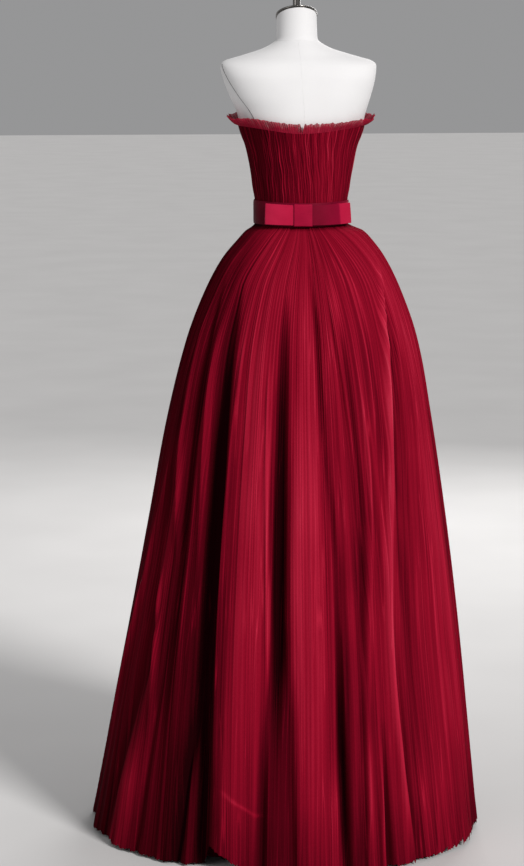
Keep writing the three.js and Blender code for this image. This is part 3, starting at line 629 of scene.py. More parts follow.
def guided_angle(hem_angle, height):
    """Where the pleat that reaches the hem at one angle lies at a height."""
    rows = np.array([curve_through(GUIDE_HEIGHTS, row, height) for row in GUIDES])
    hems = [row[0] for row in GUIDES]
    return np.array([curve_through(hems, ring, hem_angle) for ring in rows.T])


def crease_sum(creases, angle, height):
    """The depth of some creases at angles that vary by ring and column."""
    depth = np.zeros_like(angle)
    for crease in creases:
        heights, angles, depths = zip(*crease.path)
        inside = (height >= heights[0]) & (height <= heights[-1] + 1e-9)
        strength = curve_through(heights, depths, height) * inside
        depth += strength * near_angle(angle, curve_through(heights, angles, height), crease.width)
    return depth


def crease_depth(angle, height):
    depth = crease_sum(CREASES, angle, height)
    for fold in FOLDS:
        grown = np.maximum(0, (fold.start - height) / fold.start) ** 0.7
        middle = fold.angle + fold.drift * height / fold.start
        depth += fold.depth * grown * near_angle(angle, middle, fold.width)
    return depth


def wide_pleats(hem_angle, height):
    """The wide pleats, from 0 on a crest to 1 in a trough, uneven in spacing and depth."""
    turn = np.radians(hem_angle)
    phase = WIDE_PLEATS * turn + 2.9 * np.sin(7 * turn + 1) + 1.9 * np.sin(13 * turn + 2 + height / 420)
    phase = phase + 1.5 * np.sin(29 * turn + height / 600) + 0.8 * np.sin(47 * turn + 1 - height / 350)
    trough = (0.5 - 0.5 * np.cos(phase)) ** 0.8
    vary = 0.6 + 0.5 * np.sin(17 * turn + 0.8 + height / 260) * np.sin(10 * turn + 2 - height / 500)
    return trough, vary


def skirt_heights():
    bands = [np.linspace(high, low, rings, endpoint=False) for high, low, rings in SKIRT_RING_BANDS]
    return np.concatenate(bands + [[HEM_HEIGHT]])


def hem_teeth(hem_angle):
    """How far the hem rises: slanted steps, tall on part of the wearer's right and lower elsewhere."""
    place = hem_angle / TOOTH_WIDTH + 0.45 * np.sin(np.radians(hem_angle * 9))
    tall = TOOTH_HEIGHT
    for teeth in HEM_TEETH:
        tall = tall + teeth.height * near_angle(hem_angle, teeth.angle, teeth.width)
    return tall * (place - np.floor(place)) * (0.75 + 0.25 * np.sin(2.7 * np.floor(place)))


def lifted_hem(hem_angle):
    """How far the hem rises where the cloth turns in beside the deepest fold of the back."""
    rise = np.clip((LIFT_TO - hem_angle) / (LIFT_TO - LIFT_FROM), 0, 1)
    return LIFT_HEIGHT * rise * smooth_step(hem_angle, LIFT_FROM - 3.5, LIFT_FROM + 0.5)


def lining_radius(angle, height):
    lowered = 1 - height / LINING[0].height
    wave = LINING_WAVE_DEPTH * cosine(angle * LINING_WAVES + 6 * sine(3 * angle))
    wave = (wave + 2.2 * sine(31 * angle + 40 * sine(5 * angle))) * lowered
    return garment_outline(section_at(LINING, height), angle) + wave, wave


def painted_shade_share(angle, height):
    """Painted shade and light: the share of its colour's lightness that each place of the skirt keeps, by
    height and zone.
    """
    share = np.interp(height, HEM_SHADE_HEIGHTS, HEM_SHADE_SHARES)
    for zone in PAINTED_SHADE_ZONES:
        within = smooth_step(height, zone.low - ZONE_SOFT_EDGE, zone.low + ZONE_SOFT_EDGE)
        within = within * smooth_step(height, zone.high + ZONE_SOFT_EDGE, zone.high - ZONE_SOFT_EDGE)
        share = share * (1 - zone.loss * within * near_angle(angle, zone.angle, zone.width))
    return share


def skirt_panel(panel, material):
    hem_angles, nearness, strength, phase = pleat_columns(panel)
    height = skirt_heights()[:, None]
    section = section_at(SKIRT, height)
    angle = guided_angle(hem_angles[0], height[:, 0])
    radius = garment_outline(section, angle)
    angle = angle + seam_inset(panel, hem_angles, radius)
    creases = crease_depth(angle, height)
    trough, vary = wide_pleats(hem_angles, height)
    fade = 0.72 + 0.28 * np.sin(height / 95 + phase) * np.sin(height / 310 + 2 * phase)
    pleats = section["pleat"] * trough * vary + section["fine"] * (1 - nearness) * strength * fade
    room = np.maximum(radius - lining_radius(angle, height)[0] - pleats - LINING_CLEARANCE, 1.0)
    radius = radius - np.where(creases > 0, room * np.tanh(creases / room), creases) - pleats
    hem = hem_teeth(hem_angles) + PLEAT_HEM_RISE * (1 - nearness)
    level = height - waist_dip(angle, height) + hem * smooth_step(height, TEETH_FROM, HEM_HEIGHT)
    level = level + lifted_hem(hem_angles) * smooth_step(height, LIFT_TOP, HEM_HEIGHT)
    # Painted shade in the creases and painted light on the ridges
    dark = np.clip(creases / CREASE_FULL, 0, 1) ** 0.95
    # Painted highlights along the glint lines
    streaks = np.clip(crease_sum(PAINTED_GLINTS, angle, height) / RIDGE_FULL, 0, GLINT_LIMIT)
    painted_light = np.clip(-creases / RIDGE_FULL, 0, 1) + streaks
    # Painted shade and light from the skirt's height and its zones
    share = painted_shade_share(angle, height)
    shade = (SKIRT_SHADE * (1 - CREASE_LOSS * dark) + RIDGE_GAIN * painted_light) * share
    # Painted shadow under the belt, at the top of the skirt
    shade = shade - PAINTED_BELT_SHADOW * smooth_step(height, 1291, 1302)
    # Painted light on the crests and painted shade in the troughs of the narrow and wide pleats
    contrast = blend(NARROW_CONTRAST_LOW, NARROW_CONTRAST_HIGH, smooth_step(height, 750, 1180))
    shade = shade + contrast * (nearness - 0.45) * strength * fade * share
    shade = np.clip(shade - WIDE_CONTRAST * (trough - 0.5) * vary * share, 0, 1)
    uv = cloth_map(hem_angles / TURN, height / 1000)
    points, quads = around(angle, radius, level), grid_quads(*radius.shape)
    piece = mesh_object(panel.name + "_tulle", points, quads, material, uv, shade, 180)
    return finish(piece, panel.name)


def lining_piece(material):
    height = np.linspace(LINING[0].height, LINING[-1].height, LINING_RINGS)[:, None]
    angle = (np.arange(LINING_COLUMNS) * TURN / LINING_COLUMNS)[None, :]
    radius, wave = lining_radius(angle, height)
    level = height - waist_dip(angle, height)
    outer, inner = around(angle, radius, level), around(angle, radius - LINING_WALL, level)
    # Painted shade: the lining is darker in the troughs of its waves and lighter on their crests
    shade = np.clip(0.5 + wave / 24, 0, 1)
    uv = cloth_map(angle / TURN, height / 1000)
    piece = wall_object("skirt_lining_cloth", outer, inner, material, uv, shade, is_tube=True)
    return finish(piece, "skirt_lining")


# The bodice and the frill


def bodice_panel(panel, material):
    seam_angles, nearness, strength, phase = pleat_columns(panel)
    height = blend(top_edge(seam_angles), WAIST_SEAM + SEAM_GAP, np.linspace(0, 1, BODICE_RINGS)[:, None])
    wander = 0.7 * sine(height * 1.9 + 57 * phase) + 0.45 * sine(height * 6.5 + 130 * phase)
    wander = wander * smooth_step(height, 1310, 1360)
    isnt_seam = (seam_angles != panel.start) & (seam_angles != panel.end)
    inset = BODICE_SEAM_SHARE * seam_inset(panel, seam_angles, BODICE_SEAM_RADIUS)
    angle = leaning_angle(seam_angles + inset + wander * isnt_seam, height)
    fade = 0.7 + 0.3 * np.sin(height / 17 + phase) * np.sin(height / 41 + 2 * phase)
    crest = nearness * strength * fade
    relief = BODICE_PLEAT_DEPTH * crest * smooth_step(height, BODICE_PLEAT_FROM, BODICE_PLEAT_FULL)
    inner_radius = bodice_inner(angle, height)
    level = height - waist_dip(angle, height)
    outer = around(angle, inner_radius + BODICE_WALL + relief, level)
    inner = around(angle, inner_radius, level)
    # Painted light and shade: the pleats' crests are painted lighter, the wearer's left back darker and the
    # back towards the wearer's right lighter
    shade = BODICE_SHADE + BODICE_CONTRAST * (crest - 0.4)
    shade = shade - 0.12 * near_angle(angle, 20, 42) + 0.09 * near_angle(angle, 118, 44)
    uv, name = cloth_map(seam_angles / TURN, height / 1000), panel.name + "_tulle"
    piece = wall_object(name, outer, inner, material, uv, np.clip(shade, 0, 1), crisp=75)
    return finish(piece, panel.name)


def frill_piece(material):
    strip = Panel("top_frill", CENTRE_BACK, CENTRE_BACK + TURN, FRILL_WAVES, 31)
    seam_angles, nearness, strength, phase = pleat_columns(strip)
    share = np.linspace(1, 0, FRILL_RINGS)[:, None]
    base = top_edge(seam_angles) - FRILL_LAP
    angle = leaning_angle(seam_angles + seam_inset(strip, seam_angles, 40), base)
    sideways = cosine(seam_angles) ** 2
    from_notch = np.minimum(seam_angles - strip.start, strip.end - seam_angles)
    notch = blend(FRILL_NOTCH_SHARE, 1, smooth_step(from_notch, 0, FRILL_NOTCH_WIDTH))
    ragged = 0.93 + 0.05 * np.sin(phase * 3) + 0.03 * np.sin(seam_angles * 0.9)
    tall = (FRILL_HEIGHT + FRILL_SIDE_EXTRA * sideways**3) * notch * ragged
    turned_down = sum(near_angle(seam_angles, place, FRILL_TURN_WIDTH) for place in FRILL_TURNED_DOWN)
    tall = tall * (1 - 0.15 * near_angle(seam_angles, 138, 22) - 0.32 * turned_down)
    height = base + share * tall
    middle_flare = np.where(sine(seam_angles) > 0, FRILL_FLARE_BACK, FRILL_FLARE_FRONT)
    flare = blend(middle_flare, FRILL_FLARE_SIDE, sideways**2) + 3.5 * turned_down
    lean = flare + 2.2 * np.sin(seam_angles * 0.35 + 1) + 1.6 * np.sin(seam_angles * 0.11)
    lean = share ** blend(1.4, 0.55, sideways**2) * lean
    wave = share * FRILL_WAVE_DEPTH * (nearness - 0.5) * np.minimum(strength, 1.1)
    radius = bodice_inner(angle, height) + BODICE_WALL + FRILL_GAP + lean + wave
    # Painted highlight on the gathers' crests; the strip is also lighter and more open towards its free edge
    shade = np.clip(0.2 + 0.28 * nearness * strength + 0.3 * share**2, 0, 1)
    uv = cloth_map(seam_angles / TURN, share)
    points, quads = around(angle, radius, height), grid_quads(*radius.shape)
    piece = mesh_object("top_frill_tulle", points, quads, material, uv, shade, 180)
    return finish(piece, "top_frill")


# The belt and the bow


def belt_radius(angle):
    return figure_radius(angle, BELT_LEVEL_FROM) + BELT_GAP


def belt_level(angle):
    middle = BELT_BOTTOM + BELT_HEIGHT / 2
    return middle - waist_dip(angle, middle)


def belt_piece(material):
    angle = np.linspace(0, TURN, BELT_COLUMNS, endpoint=False)[None, :]
    across = np.linspace(1, -1, BELT_ROWS)[:, None]
    rounded = BELT_ROUNDING * (1 - across**6)
    sag = 0.35 * np.sin(np.radians(angle) * 9 + across * 2) * (1 - across**2)
    level = belt_level(angle) + across * BELT_HEIGHT / 2
    reach = belt_radius(angle) + BELT_WALL - BELT_ROUNDING + rounded + sag * 0.5
    outer = around(angle, reach, level)
    inner = around(angle, belt_radius(angle) + 0 * across, level)
    uv = cloth_map(angle / TURN, across / 2)
    # Painted shadow on the belt about the wearer's left, beyond the left loop's end, and painted light
    # towards its top edge
    shade = BELT_SHADE - 0.2 * near_angle(angle, 5, 40) + 0.05 * across
    piece = wall_object("belt_satin", outer, inner, material, uv, shade, is_tube=True)
    return finish(piece, "belt")


def band_along(path_angles, path_radii, half_height, rows, wall, bulge=0.0):
    """The outer and inner points of a band that stands on its edge along a path in plan."""
    flat = around(path_angles, path_radii, 0.0 * path_angles)[:, :2]
    along = np.gradient(flat, axis=0)
    along /= np.linalg.norm(along, axis=1)[:, None]
    outward = np.stack([along[:, 1], -along[:, 0]], axis=-1)
    across = np.linspace(1, -1, rows)[:, None]
    level = belt_level(path_angles)[None, :] + across * half_height[None, :]
    sides = []
    for side in (0.5, -0.5):
        offset = side * wall + bulge * (1 - across**2)
        place = flat[None, :, :] + offset[:, :, None] * outward[None, :, :]
        sides.append(np.concatenate([place, level[:, :, None]], axis=-1))
    return np.stack(sides)


def bow_loop_piece(loop, material):
    """A loop leaves the knot, folds over at its outer end and comes back under itself."""
    away = math.copysign(1, loop.end - BOW_MIDDLE)
    start = BOW_MIDDLE + 0.3 * away
    near = BELT_WALL + BOW_BELT_GAP + SATIN_WALL / 2
    fold_radius = BOW_LAYER_GAP / 2
    share = np.linspace(0, 1, BOW_COLUMNS)

    def layer(shares, number):
        angles = blend(start, loop.end, shares)
        return angles, belt_radius(angles) + near + loop.lift * shares**2 + number * BOW_LAYER_GAP

    front_angles, front_radii = layer(share, 1)
    back_angles, back_radii = layer(share[::-1], 0)
    tip_angle, tip_radius = (float(value[0]) for value in layer(np.array([1.0]), 0.5))
    turn = np.linspace(0, math.pi, BOW_FOLD_COLUMNS)[1:-1]
    fold_angles = tip_angle + away * np.degrees(fold_radius * np.sin(turn) / tip_radius)
    fold_radii = tip_radius + fold_radius * np.cos(turn)
    angles = np.concatenate([front_angles, fold_angles, back_angles])
    radii = np.concatenate([front_radii, fold_radii, back_radii])
    if away < 0:
        angles, radii = angles[::-1], radii[::-1]
    reach = np.abs(angles - start) / abs(loop.end - start)
    half_height = BOW_HEIGHT / 2 * (0.965 + 0.05 * np.clip(reach, 0, 1))
    points = band_along(angles, radii, half_height, BOW_ROWS, SATIN_WALL, BOW_BULGE)
    rows, columns = points.shape[1:3]
    steps = np.hypot(np.diff(radii), np.radians(np.diff(angles)) * 100)
    run = np.cumsum(np.concatenate([[0], steps])) / 1000
    uv = cloth_map(run, np.linspace(0.5, -0.5, rows)[:, None])
    # Painted light and shade along the loop, with a painted highlight on its fold
    shade = blend(loop.near_shade, loop.far_shade, smooth_step(reach, 0.2, 0.9))
    shade = shade + loop.fold_shade * smooth_step(reach, loop.fold - 0.02, loop.fold + 0.02)
    shade = np.broadcast_to(shade, (rows, columns))
    across = np.linspace(1, -1, rows)[:, None]
    turn = np.radians(-away * loop.slant * across * smooth_step(reach, 0.3, 1.0))
    x, y = points[..., 0].copy(), points[..., 1].copy()
    points[..., 0] = x * np.cos(turn) - y * np.sin(turn)
    points[..., 1] = x * np.sin(turn) + y * np.cos(turn)
    piece = wall_object(loop.name, *points, material, uv, shade)
    return finish(piece, loop.name.replace("_satin", ""))


def knot_piece(material):
    """A band over the two loops that turns in above and below them, back to the belt."""
    near = BELT_WALL + SEAM_GAP
    half, corner = KNOT_HEIGHT / 2, KNOT_CORNER
    bend = np.radians(np.linspace(90, 0, 7))
    out = np.concatenate([[near], KNOT_RISE - corner + corner * np.cos(bend)])
    up = np.concatenate([[half], half - corner + corner * np.sin(bend)])
    inner_corner = corner - SATIN_WALL
    inner_out = np.concatenate([[near], KNOT_RISE - corner + inner_corner * np.cos(bend)])
    inner_up = np.concatenate([[half - SATIN_WALL], half - corner + inner_corner * np.sin(bend)])
    middle = np.linspace(1, -1, 9)[1:-1] * (half - corner)
    flat = np.full(len(middle), KNOT_RISE)
    angles = np.linspace(KNOT_FROM, KNOT_TO, KNOT_COLUMNS)[None, :]
    pinch = 1 - 0.035 * np.cos(np.linspace(-1.2, 1.2, KNOT_COLUMNS))[None, :]
    sides = []
    for ends, front, edge in ((out, flat, up), (inner_out, flat - SATIN_WALL, inner_up)):
        reach = np.concatenate([ends, front, ends[::-1]])[:, None]
        rise = np.concatenate([edge, middle, -edge[::-1]])[:, None]
        sides.append(around(angles, belt_radius(angles) + reach, belt_level(angles) + rise * pinch))
    rows = len(sides[0])
    uv = cloth_map(np.linspace(0, 0.045, KNOT_COLUMNS), np.linspace(0.5, -0.5, rows)[:, None])
    # Painted shadow along the knot's two ends, darker at the first
    shade = np.full((rows, KNOT_COLUMNS), KNOT_SHADE)
    shade[:, 0] -= 0.4
    shade[:, -1] -= 0.3
    piece = wall_object("bow_knot_satin", *sides, material, uv, shade)
    return finish(piece, "bow_knot")


# The form and its fittings


def torso_point(angle, height):
    section = section_at(FIGURE, height)
    points = around(angle, figure_radius(angle, height), height)
    points[..., 2] += section["rise"] * points[..., 1]
    points[..., 0] += section["sway"]
    points[..., 1] += section["lean"]
    return points


def shrunk_rings(ring, steps):
    """Copies of a ring drawn in towards its middle."""
    middle = ring.mean(axis=1, keepdims=True)
    return [middle + (ring - middle) * step for step in steps]


def torso_piece(material):
    columns, top, bottom = TORSO_COLUMNS, FIGURE[0].height, FIGURE[-1].height
    heights = bottom + (top - bottom) * np.linspace(1, 0, TORSO_RINGS)[:, None] ** 1.25
    angle = (np.arange(columns) * TURN / columns)[None, :]
    points = torso_point(angle, heights)
    above, below = shrunk_rings(points[:1], (0.25, 0.6)), shrunk_rings(points[-1:], (0.97, 0.6, 0.25))
    grid = np.concatenate(above + [points] + below)
    total = len(grid)
    caps = []
    for ring, flip in ((0, False), (total - 1, True)):
        line = np.arange(columns) + ring * columns
        for k in range(1, columns // 2):
            cap = [line[k - 1], line[k], line[columns - 1 - k], line[(columns - k) % columns]]
            caps.append(cap[::-1] if flip else cap)
    quads = np.concatenate([grid_quads(total, columns, is_tube=True), np.array(caps)])
    uv = cloth_map(angle / TURN, grid[..., 2] / 1000)
    piece = mesh_object("form_torso_cover", grid, quads, material, uv, None, 60)
    return finish(piece, "form_torso")


def thin_line(name, path, radius, material):
    """A thin round line along points."""
    curve = bpy.data.curves.new(name, "CURVE")
    curve.dimensions = "3D"
    curve.bevel_depth = radius * MM
    curve.bevel_resolution = 2
    spline = curve.splines.new("POLY")
    spline.points.add(len(path) - 1)
    for point, place in zip(spline.points, path):
        point.co = (*(np.asarray(place) * MM), 1)
    curve.materials.append(material.data)
    line = bpy.data.objects.new(name, curve)
    bpy.context.scene.collection.objects.link(line)
    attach(line, "root")
    return line


def form_seams(dark, faint):
    """The joint of each arm plate, from the shoulder's tip down under the dress, and the cover's seams."""
    share = np.linspace(0, 1, 40)
    joint = blend(PLATE_JOINT_TOP, SEAMS_END, share)
    back = np.full(len(share), CENTRE_BACK - 5)
    lines = [
        ("form_plate_joint_left", 4 + 31 * share, joint, 0.55, dark),
        ("form_plate_joint_right", 180 + 5 * share, joint, 0.55, dark),
        ("form_neck_seam", np.linspace(0, TURN, 97), np.full(97, NECK_SEAM), 0.35, faint),
        ("form_back_seam", back, blend(BACK_SEAM_TOP, SEAMS_END, share), 0.3, faint),
    ]
    for name, angle, height, radius, material in lines:
        thin_line(name, torso_point(angle, height), radius, material)


def turned_piece(name, profile, segments, material, place=Matrix()):
    """A solid turned about the upright axis through a profile of radius and height, from the bottom up."""
    angle = np.arange(segments) * TURN / segments
    radii, heights = np.array(profile[::-1], float).T[..., None]
    points = around(angle[None, :], np.maximum(radii, 0.02), heights)
    quads = grid_quads(len(profile), segments, is_tube=True)
    piece = mesh_object(name, points, quads, material, None, None, 35)
    scaled = place.copy()
    scaled.translation = place.translation * MM
    piece.data.transform(scaled)
    return piece


def bent(centre_radius, centre_height, size, start, end, steps=7):
    """Profile points round a corner, by the angles of an arc."""
    turns = np.radians(np.linspace(start, end, steps))
    return [(centre_radius + size * math.cos(t), centre_height + size * math.sin(t)) for t in turns]


def fittings(chrome, plate):
    neck = FIGURE[0]
    slope = math.atan(neck.rise)
    profile = [(0, 0), (CAP_RADIUS - 1.4, 0)]
    profile += bent(CAP_RADIUS - 1.3, 1.3, 1.3, -90, 70)
    profile += [(CAP_RADIUS - 2.8, 3.0), (CAP_RADIUS - 2.8, 3.9)]
    profile += bent(CAP_RADIUS - 2.4, CAP_THICKNESS + 1.9, 2.0, -80, 100, 9)
    profile += [(CAP_RADIUS - 6, 6.5), (CAP_RADIUS - 8, 3.2), (POST_RADIUS + 8, 3.2)]
    profile += [(POST_RADIUS + 3, CAP_THICKNESS - 0.2), (0, CAP_THICKNESS - 0.2)]
    tilt = Matrix.Rotation(slope, 4, "X")
    rise, back = neck.height + CAP_GAP * math.cos(slope), neck.lean - CAP_GAP * math.sin(slope)
    tilt.translation = Vector((neck.sway, back, rise))
    finish(turned_piece("neck_cap_plate", profile, 96, chrome, tilt), "neck_cap")

    foot = neck.height + (CAP_THICKNESS + 2 * CAP_GAP) / math.cos(slope) - POST_RADIUS * neck.rise
    knob = POST_TOP - KNOB_HEIGHT
    profile = [(0, foot), (POST_RADIUS - 0.5, foot), (POST_RADIUS, foot + 0.6), (POST_RADIUS, knob - 3)]
    profile += [(POST_RADIUS + 1.2, knob - 2.4), (POST_RADIUS + 1.2, knob - 0.6)]
    profile += bent(0, knob + KNOB_HEIGHT / 2, KNOB_RADIUS, -35, 37, 9)
    profile += [(KNOB_RADIUS * 0.62, POST_TOP - 0.4), (0, POST_TOP)]
    place = Matrix.Translation((neck.sway, neck.lean, 0))
    finish(turned_piece("neck_post_rod", profile, 64, chrome, place), "neck_post")

    bottom, low, collar = FIGURE[-1].height - STAND_GAP, BASE_HEIGHT + STAND_GAP, POLE_RADIUS
    profile = [(0, low), (collar - 1, low), (collar, low + 1), (collar, low + 30), (collar - 1, low + 31)]
    profile += [(collar - 1.6, low + 32), (collar - 1.6, bottom - 40), (collar - 0.4, bottom - 39)]
    profile += [(collar, bottom - 37), (collar, bottom - 1), (collar - 1, bottom), (0, bottom)]
    finish(turned_piece("stand_pole_tube", profile, 48, chrome), "stand_pole")

    profile = [(0, 0), (BASE_RADIUS - 2, 0)] + bent(BASE_RADIUS - 2, 2, 2, -90, 0, 5)
    profile += bent(BASE_RADIUS - 5, BASE_HEIGHT - 5, 5, 0, 90, 9)
    profile += [(60, BASE_HEIGHT), (30, BASE_HEIGHT), (0, BASE_HEIGHT)]
    finish(turned_piece("stand_base_plate", profile, 128, plate), "stand_base")


# Materials


class Material:
    """A material and the nodes that give it colour, relief and openness."""

    def __init__(self, name, shader_values):
        self.data = bpy.data.materials.new(name)
        self.data.use_nodes = True
        self.nodes = self.data.node_tree.nodes
        self.link = self.data.node_tree.links.new
        self.shader = self.nodes["Principled BSDF"]
        for socket, value in shader_values.items():
            self.shader.inputs[socket].default_value = value

    def add(self, kind, **settings):
        node = self.nodes.new(kind)
        for name, value in settings.items():
            if name in node.inputs:
                node.inputs[name].default_value = value
            else:
                setattr(node, name, value)
        return node

    def math(self, operation, *values):
        """The result of an operation on sockets and numbers."""
        node = self.add("ShaderNodeMath", operation=operation)
        for place, value in zip(node.inputs, values):
            if isinstance(value, bpy.types.NodeSocket):
                self.link(value, place)
            else:
                place.default_value = value
        return node.outputs[0]

    def map_range(self, socket, given, wanted):
        node = self.add("ShaderNodeMapRange")
        for name, value in zip(("From Min", "From Max", "To Min", "To Max"), (*given, *wanted)):
            node.inputs[name].default_value = value
        self.link(socket, node.inputs["Value"])
        return node.outputs["Result"]

    def shade(self):
        return self.add("ShaderNodeAttribute", attribute_name="shade").outputs["Fac"]

    def uv_noise(self, scale, detail=2.0):
        """Noise on the cloth's own map, stretched by the scale along and up the cloth."""
        place = self.add("ShaderNodeUVMap", uv_map="cloth")
        stretch = self.add("ShaderNodeMapping", Scale=(*scale, 1))
        noise = self.add("ShaderNodeTexNoise", Scale=1.0, Detail=detail)
        self.link(place.outputs["UV"], stretch.inputs["Vector"])
        self.link(stretch.outputs["Vector"], noise.inputs["Vector"])
        return noise.outputs["Fac"]

    def mesh_noise(self, scale, detail=2.0):
        """Noise fixed to the object, at this many cells for each metre."""
        place = self.add("ShaderNodeTexCoord")
        noise = self.add("ShaderNodeTexNoise", Scale=scale, Detail=detail)
        self.link(place.outputs["Object"], noise.inputs["Vector"])
        return noise.outputs["Fac"]

    def scaled_sum(self, parts, start=0.0):
        """start plus each socket less 0.5, times its share."""
        total = None
        for socket, share in parts:
            term = self.math("MULTIPLY_ADD", socket, share, start - 0.5 * share)
            total = term if total is None else self.math("ADD", total, term)
            start = 0.0
        return total

    def wavering_lines(self, scale, width, patches):
        """Fine lines that waver along the cloth, stronger in some patches: 1 on a line, 0 between lines."""
        away = self.math("ABSOLUTE", self.math("SUBTRACT", self.uv_noise(scale, 1.0), 0.5))
        line = self.map_range(away, (0, width), (1, 0))
        patch = self.map_range(self.uv_noise(patches), (0.35, 0.68), (0, 1))
        return self.math("MULTIPLY", line, patch)

    def color_by(self, socket, stops):
        """The base colour, from a ramp of positions and colours."""
        ramp = self.add("ShaderNodeValToRGB")
        elements = ramp.color_ramp.elements
        while len(elements) < len(stops):
            elements.new(0.5)
        for element, (position, color) in zip(elements, stops):
            element.position = position
            element.color = (*color, 1)
        self.link(socket, ramp.inputs["Fac"])
        self.link(ramp.outputs["Color"], self.shader.inputs["Base Color"])

    def bump_by(self, socket, strength, distance):
        bump = self.add("ShaderNodeBump", Strength=strength, Distance=distance)
        self.link(socket, bump.inputs["Height"])
        self.link(bump.outputs["Normal"], self.shader.inputs["Normal"])


def tulle_material(name, stops, streaks, lines=1.0):
    """Fine net in many layers: each place's colour follows the painted shade and light set from its pleats,
    creases and zones, with uneven streaks along them.
    """
    material = Material(name, {"Roughness": 0.85, "Specular IOR Level": 0.012})
    total = material.scaled_sum([
        (material.uv_noise((streaks * 0.2, 1.4), 3.0), 0.26),
        (material.uv_noise((streaks, 2.5), 4.0), 0.20),
        (material.mesh_noise(420, 1.0), 0.09),
        (material.wavering_lines((streaks * 0.55, 1.9), 0.035, (streaks * 0.08, 1.5)), 0.22 * lines),
        (material.wavering_lines((streaks * 0.4, 1.3), 0.045, (streaks * 0.1, 2.2)), -0.08 * lines),
    ])
    material.color_by(material.math("ADD", material.shade(), total), stops)
    material.bump_by(total, 0.4, 0.0009)
    return material


def sheer_material(name, stops):
    """One layer of net: more open between its gathers and towards its free edge."""
    material = tulle_material(name, stops, 700, 1.2)
    total = material.scaled_sum([(material.shade(), -0.7), (material.uv_noise((900, 1.2)), 0.8)], 0.92)
    limit = material.add("ShaderNodeClamp", Min=0.45, Max=0.98)
    material.link(total, limit.inputs["Value"])
    material.link(limit.outputs[0], material.shader.inputs["Alpha"])
    return material


def satin_material():
    material = Material("crimson_satin", {
        "Roughness": 0.48,
        "Specular IOR Level": 0.04,
        "Sheen Weight": 0.02,
        "Sheen Roughness": 0.35,
        "Sheen Tint": (1.0, 0.15, 0.3, 1),
    })
    threads = material.uv_noise((40, 90))
    # The colour follows the painted light and shade of each satin piece
    parts = [(material.shade(), 1.0), (material.mesh_noise(26), 0.22), (threads, 0.12)]
    material.color_by(material.scaled_sum(parts, 0.5), SATIN_STOPS)
    material.bump_by(threads, 0.25, 0.0006)
    return material


def cover_material():
    values = {"Roughness": 0.72, "Specular IOR Level": 0.3, "Sheen Weight": 0.1}
    material = Material("white_form_cover", values)
    weave = material.mesh_noise(900)
    total = material.scaled_sum([(material.mesh_noise(9), 0.6), (weave, 0.35)], 0.5)
    material.color_by(total, COVER_STOPS)
    material.bump_by(weave, 0.12, 0.0005)
    return material


def mottled_material(name, color, darkest, noise, shader_values):
    """A colour that varies softly down to this share of itself."""
    material = Material(name, shader_values)
    mottle = material.mesh_noise(*noise)
    material.color_by(mottle, [(0.3, tuple(darkest * c for c in color)), (0.7, color)])
    return material, mottle


def line_material(name, color):
    return mottled_material(name, color, 0.8, (60, 1.0), {"Roughness": 0.7})[0]


def metal_material(name, color, rough):
    material, smudge = mottled_material(name, color, 0.85, (45, 3.0), {"Metallic": 1.0})
    rubbed = material.map_range(smudge, (0, 1), (rough * 0.7, rough * 1.4))
    material.link(rubbed, material.shader.inputs["Roughness"])
    return material


# The room, the lights and the camera


def floor_piece():
    material = Material("pale_floor", {"Roughness": 0.85})
    material.color_by(material.mesh_noise(2.0), FLOOR_STOPS)
    half = FLOOR_HALF
    points = [(-half, -half, 0), (half, -half, 0), (half, half, 0), (-half, half, 0)]
    mesh_object("floor", points, [(0, 1, 2, 3)], material)


def place_lamp(name, kind, power, color, direction, place=(0, 0, 0)):
    lamp = bpy.data.lights.new(name, kind)
    lamp.energy = power
    lamp.color = color
    holder = bpy.data.objects.new(name, lamp)
    holder.location = place
    holder.rotation_euler = Vector(direction).to_track_quat("Z", "Y").to_euler()
    bpy.context.scene.collection.objects.link(holder)
    return lamp


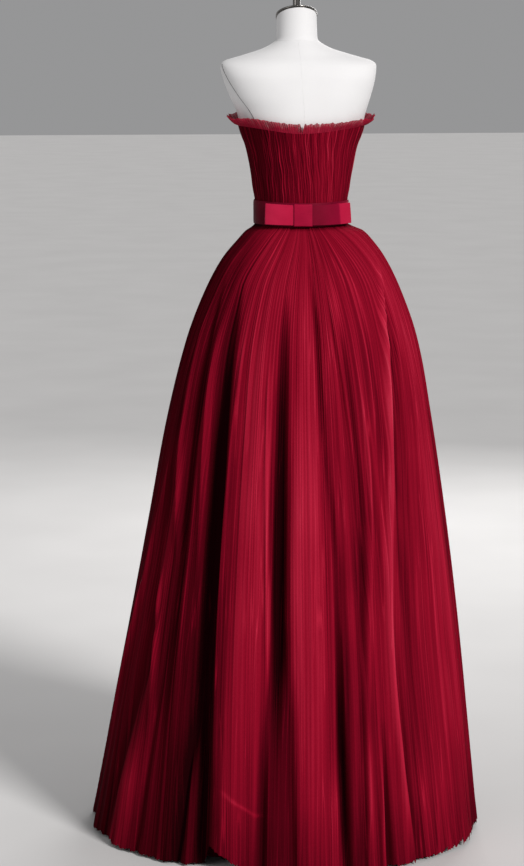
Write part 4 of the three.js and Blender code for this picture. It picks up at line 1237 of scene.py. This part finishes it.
def lights():
    world = bpy.data.worlds.new("pale_room")
    world.use_nodes = True
    background = world.node_tree.nodes["Background"]
    background.inputs["Color"].default_value = ROOM_COLOR
    background.inputs["Strength"].default_value = ROOM_STRENGTH
    bpy.context.scene.world = world
    place_lamp("key", "SUN", KEY_STRENGTH, KEY_COLOR, KEY_FROM).angle = math.radians(KEY_SPREAD)
    for lamp in LAMPS:
        away = Vector(lamp.place) - Vector(lamp.target)
        area = place_lamp(lamp.name, "AREA", lamp.power, lamp.color, away, lamp.place)
        area.size = LAMP_SIZE


def camera():
    turn = math.radians(CAMERA_AZIMUTH)
    ahead = Vector((-math.sin(turn), math.cos(turn), 0))
    right = ahead.cross(Vector((0, 0, 1)))
    yaw, pitch = math.radians(CAMERA_YAW), math.radians(CAMERA_PITCH)
    ahead = ahead * math.cos(yaw) - right * math.sin(yaw)
    ahead = ahead * math.cos(pitch) - Vector((0, 0, 1)) * math.sin(pitch)
    lens = bpy.data.cameras.new("photo_camera")
    lens.sensor_fit = "VERTICAL"
    lens.sensor_height = SENSOR_HEIGHT
    lens.lens = CAMERA_LENS
    holder = bpy.data.objects.new("photo_camera", lens)
    holder.location = CAMERA_PLACE
    holder.rotation_euler = ahead.to_track_quat("-Z", "Y").to_euler()
    bpy.context.scene.collection.objects.link(holder)
    bpy.context.scene.camera = holder


def dress():
    tulle = tulle_material("crimson_tulle", TULLE_STOPS, 420)
    bodice_tulle = tulle_material("crimson_bodice_tulle", TULLE_STOPS, 330, 1.5)
    sheer = sheer_material("crimson_sheer_tulle", SHEER_STOPS)
    lining = tulle_material("crimson_lining", LINING_STOPS, 120, 0.4)
    satin = satin_material()
    for panel in SKIRT_PANELS:
        piece = skirt_panel(panel, tulle)
    lining_piece(lining)
    for panel in BODICE_PANELS:
        piece = bodice_panel(panel, bodice_tulle)
    frill_piece(sheer)
    belt_piece(satin)
    for loop in BOW_LOOPS:
        piece = bow_loop_piece(loop, satin)
    knot_piece(satin)


def form():
    torso_piece(cover_material())
    form_seams(line_material("joint_line", JOINT_COLOR), line_material("faint_seam", FAINT_COLOR))
    fittings(metal_material("chrome", CHROME, 0.2), metal_material("steel_plate", STEEL, 0.35))


camera()
dress()
form()
floor_piece()
lights()
bpy.context.scene.view_settings.view_transform = "Standard"
